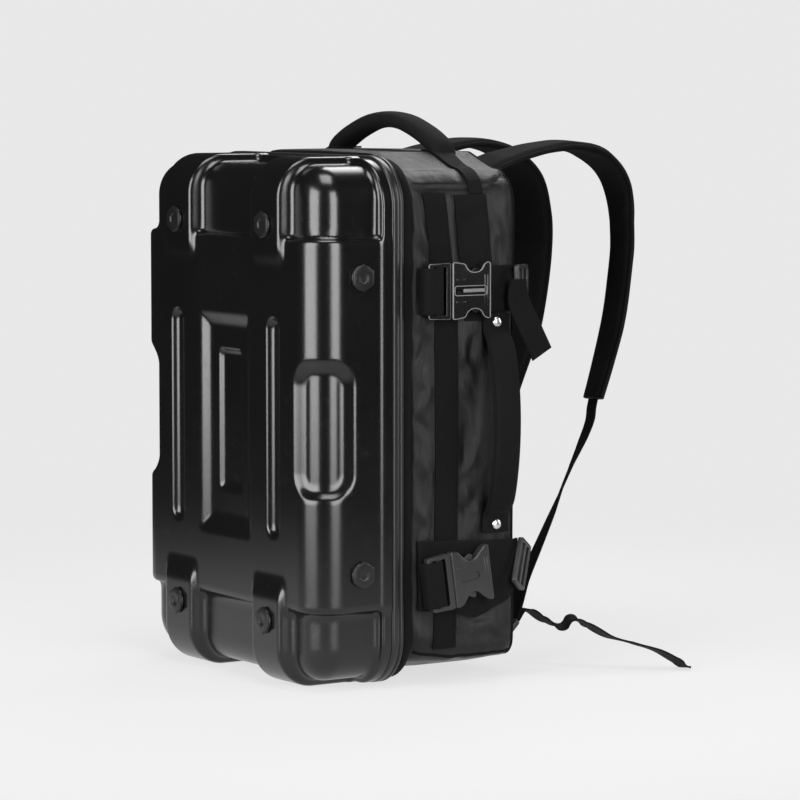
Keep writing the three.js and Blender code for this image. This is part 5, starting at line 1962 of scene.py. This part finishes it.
@dataclass
class Handles(SubAssembly):
    """The padded top handle and the padded side handle with its rivets."""

    top_in: float = 44.5
    top_half: float = 91.0
    top_rise: float = 29.0
    side_in: float = 36.0
    side_low: float = 142.0
    side_high: float = 351.0
    side_rise: float = 21.0
    side_end: float = 15.5
    wall_out: float = 168.0
    top_width: float = 28.0
    top_thick: float = 16.0
    side_width: float = 30.0
    side_thick: float = 11.0
    rivet: float = 5.0
    rivet_in: float = 8.0

    # The top handle's middle line up to its middle: aside and up as shares, width and thickness as shares
    ARCH = (
        (-1.05, -0.36, 0.9, 0.85), (-0.98, 0.05, 0.95, 1), (-0.8, 0.385, 1, 1), (-0.56, 0.685, 1, 1),
        (-0.3, 0.915, 1, 1), (0, 1, 1, 1),
    )

    # The side handle's middle line: out and up as shares, and thickness as a share
    BOW = (
        (0.075, 0, 0.25), (0.5, 0.083, 1), (0.88, 0.289, 1), (1, 0.524, 1), (0.85, 0.747, 1),
        (0.48, 0.922, 1), (0.075, 1, 0.25),
    )

    def build(self, bag: SoftBag) -> None:
        """Makes both handles.

        Args:
            bag: the bag that they stand on.
        """
        y = BAG_BACK - self.top_in
        table = [*self.ARCH, *((-side, up, wide, deep) for side, up, wide, deep in reversed(self.ARCH[:-1]))]
        arch = Strap([
            Row((side * self.top_half, y, bag.top + up * self.top_rise), wide=wide, deep=deep)
            for side, up, wide, deep in table
        ], (0, 1, 0))
        top = arch.build("top_grip", self.top_width, self.top_thick, 120, Section.GRIP)
        self.dress(top, Finish.PADDING, "top_handle")
        lines = [arch.line(self.top_width, self.top_thick, 120, side, 0.42) for side in (-0.93, 0.93)]
        self.dress(Thread.sew("top_grip_stitches", lines), Finish.WEBBING)
        y = BAG_BACK - self.side_in
        length = self.side_high - self.side_low - 2 * self.side_end
        past = self.side_end / length
        table = ((0.075, -past, 0.25), *self.BOW, (0.075, 1 + past, 0.25))
        low = self.side_low + self.side_end
        bow = Strap([
            Row((self.wall_out + out * self.side_rise, y, low + up * length), deep=deep)
            for out, up, deep in table
        ], (0, 1, 0))
        side = bow.build("side_grip", self.side_width, self.side_thick, 90, Section.PAD)
        self.dress(side, Finish.PADDING, "side_handle")
        lines = [bow.line(self.side_width, self.side_thick, 90, share, 0.56) for share in (-0.86, 0.86)]
        self.dress(Thread.sew("side_grip_stitches", lines), Finish.WEBBING)
        out = self.wall_out + 0.075 * self.side_rise + 0.125 * self.side_thick + 2 * GAP
        for end, up in (("low", self.side_low + self.rivet_in), ("high", self.side_high - self.rivet_in)):
            Bench.clear()
            bpy.ops.mesh.primitive_uv_sphere_add(segments=32, ring_count=16, radius=self.rivet * 0.001)
            rivet = Bench.named(f"handle_rivet_{end}")
            bpy.ops.object.mode_set(mode="EDIT")
            bpy.ops.mesh.select_all(action="SELECT")
            bpy.ops.mesh.bisect(plane_co=(0, 0, 0), plane_no=(1, 0, 0), clear_inner=True, use_fill=True)
            bpy.ops.object.mode_set(mode="OBJECT")
            Bench.move(rivet, moved_to(out, y, up) @ Matrix.Diagonal((0.46, 1, 1, 1)))
            Bench.outward(rivet)
            self.dress(Bench.smooth(rivet, 50.0), Finish.RIVET, f"side_handle_rivet_{end}")


@dataclass
class ShoulderStraps(SubAssembly):
    """The padded shoulder straps, the webbing below them, their ladder locks and the loose tails."""

    pad_width: float = 60.0
    pad_thick: float = 11.0
    out: float = 80.0
    reach: float = 181.0
    web_width: float = 25.0
    lock_out: float = 111.0
    lock_behind: float = 12.0
    lock_up: float = 37.0
    tail_reach: float = 154.0
    tail_out: float = 113.0
    lock_height: float = 33.0
    lock_turn: float = 45.0

    # The pad's middle line: back as a share of its reach, height as a share, twist, width as a share
    PAD = (
        (-0.07, 0.952, 0, 1.15), (0.04, 0.974, 0, 1.15), (0.17, 0.99, 0, 1.1), (0.37, 1.006, 0, 1),
        (0.58, 1.014, 0, 1), (0.78, 0.998, 0, 1), (0.94, 0.944, 8, 1), (0.99, 0.86, 16, 1),
        (0.985, 0.78, 17, 1), (0.92, 0.644, 17, 1), (0.8, 0.51, 17, 0.8),
    )

    # The webbing from the pad to its lock: across, down and inwards as shares, and twist
    DROP = (
        (0, 0, 0, 17), (0.01, 0.04, 0.018, 17), (0.07, 0.1, 0.045, 18), (0.18, 0.19, 0.135, 20),
        (0.32, 0.32, 0.285, 30), (0.43, 0.43, 0.405, 33), (0.54, 0.54, 0.52, 24), (0.69, 0.69, 0.685, 18),
        (0.84, 0.84, 0.855, 10), (0.99, 0.94, 0.955, 0), (1, 1, 1, 0),
    )

    # The tab that holds the lock: back and up as shares
    LOCK_TAB = ((0, 1), (0, 0.5), (0.2, 0.2), (0.53, 0.06))

    # The loose tail: out and back from the lock as shares of its reach, and height as a share of the lock's
    TAIL = (
        (0, 0.011, 0.96), (0, 0.07, 1.17), (0.02, 0.13, 1.12), (0.12, 0.2, 0.95), (0.23, 0.26, 0.86),
        (0.34, 0.32, 0.96), (0.42, 0.375, 0.875), (0.55, 0.48, 0.65), (0.68, 0.6, 0.515),
        (0.82, 0.715, 0.37), (0.91, 0.8, 0.19), (0.96, 0.845, 0.075), (1, 0.88, 0.035),
    )

    def build(self, side: str, sign: int, hardware: Hardware) -> None:
        """Makes one shoulder strap.

        Args:
            side: right or left.
            sign: 1 for the right and -1 for the left.
            hardware: makes the ladder lock.
        """
        way = (sign, 0, 0)
        pad_line = Strap([
            Row((sign * self.out, BAG_BACK + back * self.reach, up * HEIGHT), sign * twist, wide)
            for back, up, twist, wide in self.PAD
        ], way)

        def quilt(across: np.ndarray, along: np.ndarray) -> np.ndarray:
            """The pad's soft swelling between its seams."""
            return -0.10 * (1 + np.sin(along * 61.0 + across * 2.0)) * 0.5 * (np.abs(across) < 0.84)

        pad = pad_line.build(f"padded_strap_{side}", self.pad_width, self.pad_thick, 200, Section.PAD, quilt)
        self.dress(pad, Finish.PADDING, f"shoulder_pad_{side}")
        lines = [
            pad_line.line(self.pad_width, self.pad_thick, 200, share, high)
            for share in (-0.872, 0.872) for high in (0.42, -0.42)
        ]
        self.dress(Thread.sew(f"padded_strap_stitches_{side}", lines), Finish.WEBBING)
        end = (hardware.lock_length / 2 + 4 * GAP) * math.cos(math.radians(self.lock_turn))
        lock_end = np.array([self.lock_out, BAG_BACK + self.lock_behind + end, self.lock_up + end])
        back, up = self.PAD[-1][:2]
        first = np.array([self.out, BAG_BACK + back * self.reach, up * HEIGHT - 2 * GAP])
        drop = []
        for across, down, inward, twist in self.DROP:
            at = first + (lock_end - first) * (across, inward, down)
            drop.append(Row(tuple(at * (sign, 1, 1)), sign * twist))
        web = Strap(drop, way).build(f"lower_web_{side}", self.web_width, WEB_THICK, 120)
        self.dress(web, Finish.WEBBING, f"shoulder_webbing_{side}")
        lock = hardware.slider(self.lock_height)
        turn = turned(self.lock_turn, "X") @ turned(90, "Y") @ outwards(-hardware.lock_thick / 2)
        place = moved_to(sign * self.lock_out, BAG_BACK + self.lock_behind, self.lock_up)
        Bench.move(lock, place @ turn)
        lock.name = f"strap_lock_{side}"
        self.dress(lock, Finish.BUCKLE, f"ladder_lock_{side}")
        foot, long = BAG_BACK + GAP + 0.9, hardware.lock_length + self.lock_behind
        anchor = [
            Row((sign * self.lock_out, foot + back * self.lock_behind, self.lock_up + up * long))
            for back, up in self.LOCK_TAB
        ]
        tab = Strap(anchor, way).build(f"anchor_web_{side}", self.web_width, WEB_THICK, 30)
        self.dress(tab, Finish.WEBBING, f"lock_tab_{side}")
        tail = []
        for out, back, up in self.TAIL:
            aside = sign * (lock_end[0] + out * self.tail_out)
            tail.append(Row((aside, lock_end[1] + back * self.tail_reach, up * lock_end[2])))
        loose = Strap(tail, way).build(f"loose_tail_{side}", self.web_width, WEB_THICK, 140)
        self.dress(loose, Finish.WEBBING, f"strap_tail_{side}")


@dataclass
class Studio:
    """The pale floor, the soft lights and the camera."""

    eye: tuple = (3.08636, -1.98995, 0.58260)
    forward: tuple = (-0.83193, 0.54785, -0.08808)
    right: tuple = (0.54998, 0.83518, 0.0)
    up: tuple = (-0.07356, 0.04844, 0.99611)
    lens: float = 168.75

    LIGHTS = (
        ("front_softbox", (0.312, -2.78, 1.05), (0.0, 0.0, 1.05), (1.93, 2.3), 137.0),
        ("side_softbox", (2.785, -0.293, 1.05), (0.0, 0.0, 1.05), (1.24, 2.3), 90.0),
        ("back_strip", (1.4, 2.42, 1.0), (0.1, 0.05, 0.5), (0.7, 2.0), 30.0),
        ("top_softbox", (0.45, -0.25, 2.5), (0.0, 0.0, 0.3), (1.2, 1.2), 36.0),
        ("back_softbox", (-1.1, 1.4, 2.1), (0.0, 0.0, 0.4), (1.3, 1.1), 26.0),
    )

    def floor(self) -> None:
        """Makes a round pale floor that fades into the air at its rim."""
        Bench.clear()
        bpy.ops.mesh.primitive_circle_add(vertices=96, radius=2.0, fill_type="TRIFAN")
        floor = Bench.named("studio_floor")
        s = Shader("studio_paper")
        place = s.node("ShaderNodeSeparateXYZ", Vector=s.place.outputs["Object"])
        x, y = s.wire(place.outputs[0]), s.wire(place.outputs[1])
        away = (x * x + y * y) ** 0.5
        s.colour((0.12,) * 3, (0.13,) * 3, s.noise(3.0))
        fade = 1.0 - away.ramp(0.5, 1.3)
        white = (1.0, 1.0, 1.0, 1.0)
        floor.data.materials.append(s.finish(
            Roughness=0.95, Alpha=fade, Specular_IOR_Level=0.0, Emission_Color=white, Emission_Strength=0.69
        ))

    def air(self) -> None:
        """Makes a world that looks pale and lights the bag only faintly, so that black stays black."""
        world = bpy.data.worlds.new("studio_air")
        bpy.context.scene.world = world
        world.use_nodes = True
        tree = world.node_tree
        tree.nodes.clear()
        seen, faint = tree.nodes.new("ShaderNodeBackground"), tree.nodes.new("ShaderNodeBackground")
        seen.inputs["Color"].default_value = (0.81, 0.81, 0.81, 1)
        faint.inputs["Color"].default_value = (0.8, 0.8, 0.8, 1)
        faint.inputs["Strength"].default_value = 0.03
        path = tree.nodes.new("ShaderNodeLightPath")
        mixed = tree.nodes.new("ShaderNodeMixShader")
        output = tree.nodes.new("ShaderNodeOutputWorld")
        tree.links.new(path.outputs["Is Camera Ray"], mixed.inputs[0])
        tree.links.new(faint.outputs[0], mixed.inputs[1])
        tree.links.new(seen.outputs[0], mixed.inputs[2])
        tree.links.new(mixed.outputs[0], output.inputs["Surface"])

    def build(self) -> None:
        """Makes the floor, the world, the lights and the camera."""
        self.floor()
        self.air()
        bpy.context.scene.view_settings.view_transform = "Standard"
        for name, place, target, size, power in self.LIGHTS:
            lamp = bpy.data.lights.new(name, "AREA")
            lamp.shape = "RECTANGLE"
            lamp.size, lamp.size_y = size
            lamp.energy = power
            lit = bpy.data.objects.new(name, lamp)
            bpy.context.scene.collection.objects.link(lit)
            aim = (Vector(target) - Vector(place)).to_track_quat("-Z", "Y").to_matrix().to_4x4()
            lit.matrix_world = Matrix.Translation(Vector(place)) @ aim
        view = bpy.data.cameras.new("camera")
        view.lens, view.sensor_width = self.lens, 36.0
        view.clip_start, view.clip_end = 0.1, 60.0
        eye = bpy.data.objects.new("camera", view)
        bpy.context.scene.collection.objects.link(eye)
        turn = Matrix((self.right, self.up, [-value for value in self.forward])).transposed().to_4x4()
        eye.matrix_world = Matrix.Translation(Vector(self.eye)) @ turn
        bpy.context.scene.camera = eye


def main() -> None:
    """Builds the backpack from its sub-assemblies, in order."""
    logging.basicConfig(level=logging.INFO, format="%(message)s")
    wardrobe = Wardrobe()
    Studio().build()
    HardShell(wardrobe).build()
    Bolts(wardrobe).build()
    RimAndBinding(wardrobe).build()
    bag = SoftBag(wardrobe)
    bag.build()
    BagPanels(wardrobe).build(bag)
    hardware = Hardware()
    CompressionStraps(wardrobe).build(bag, hardware)
    Handles(wardrobe).build(bag)
    for side, sign in (("right", 1), ("left", -1)):
        ShoulderStraps(wardrobe).build(side, sign, hardware)


if __name__ == "__main__":
    main()
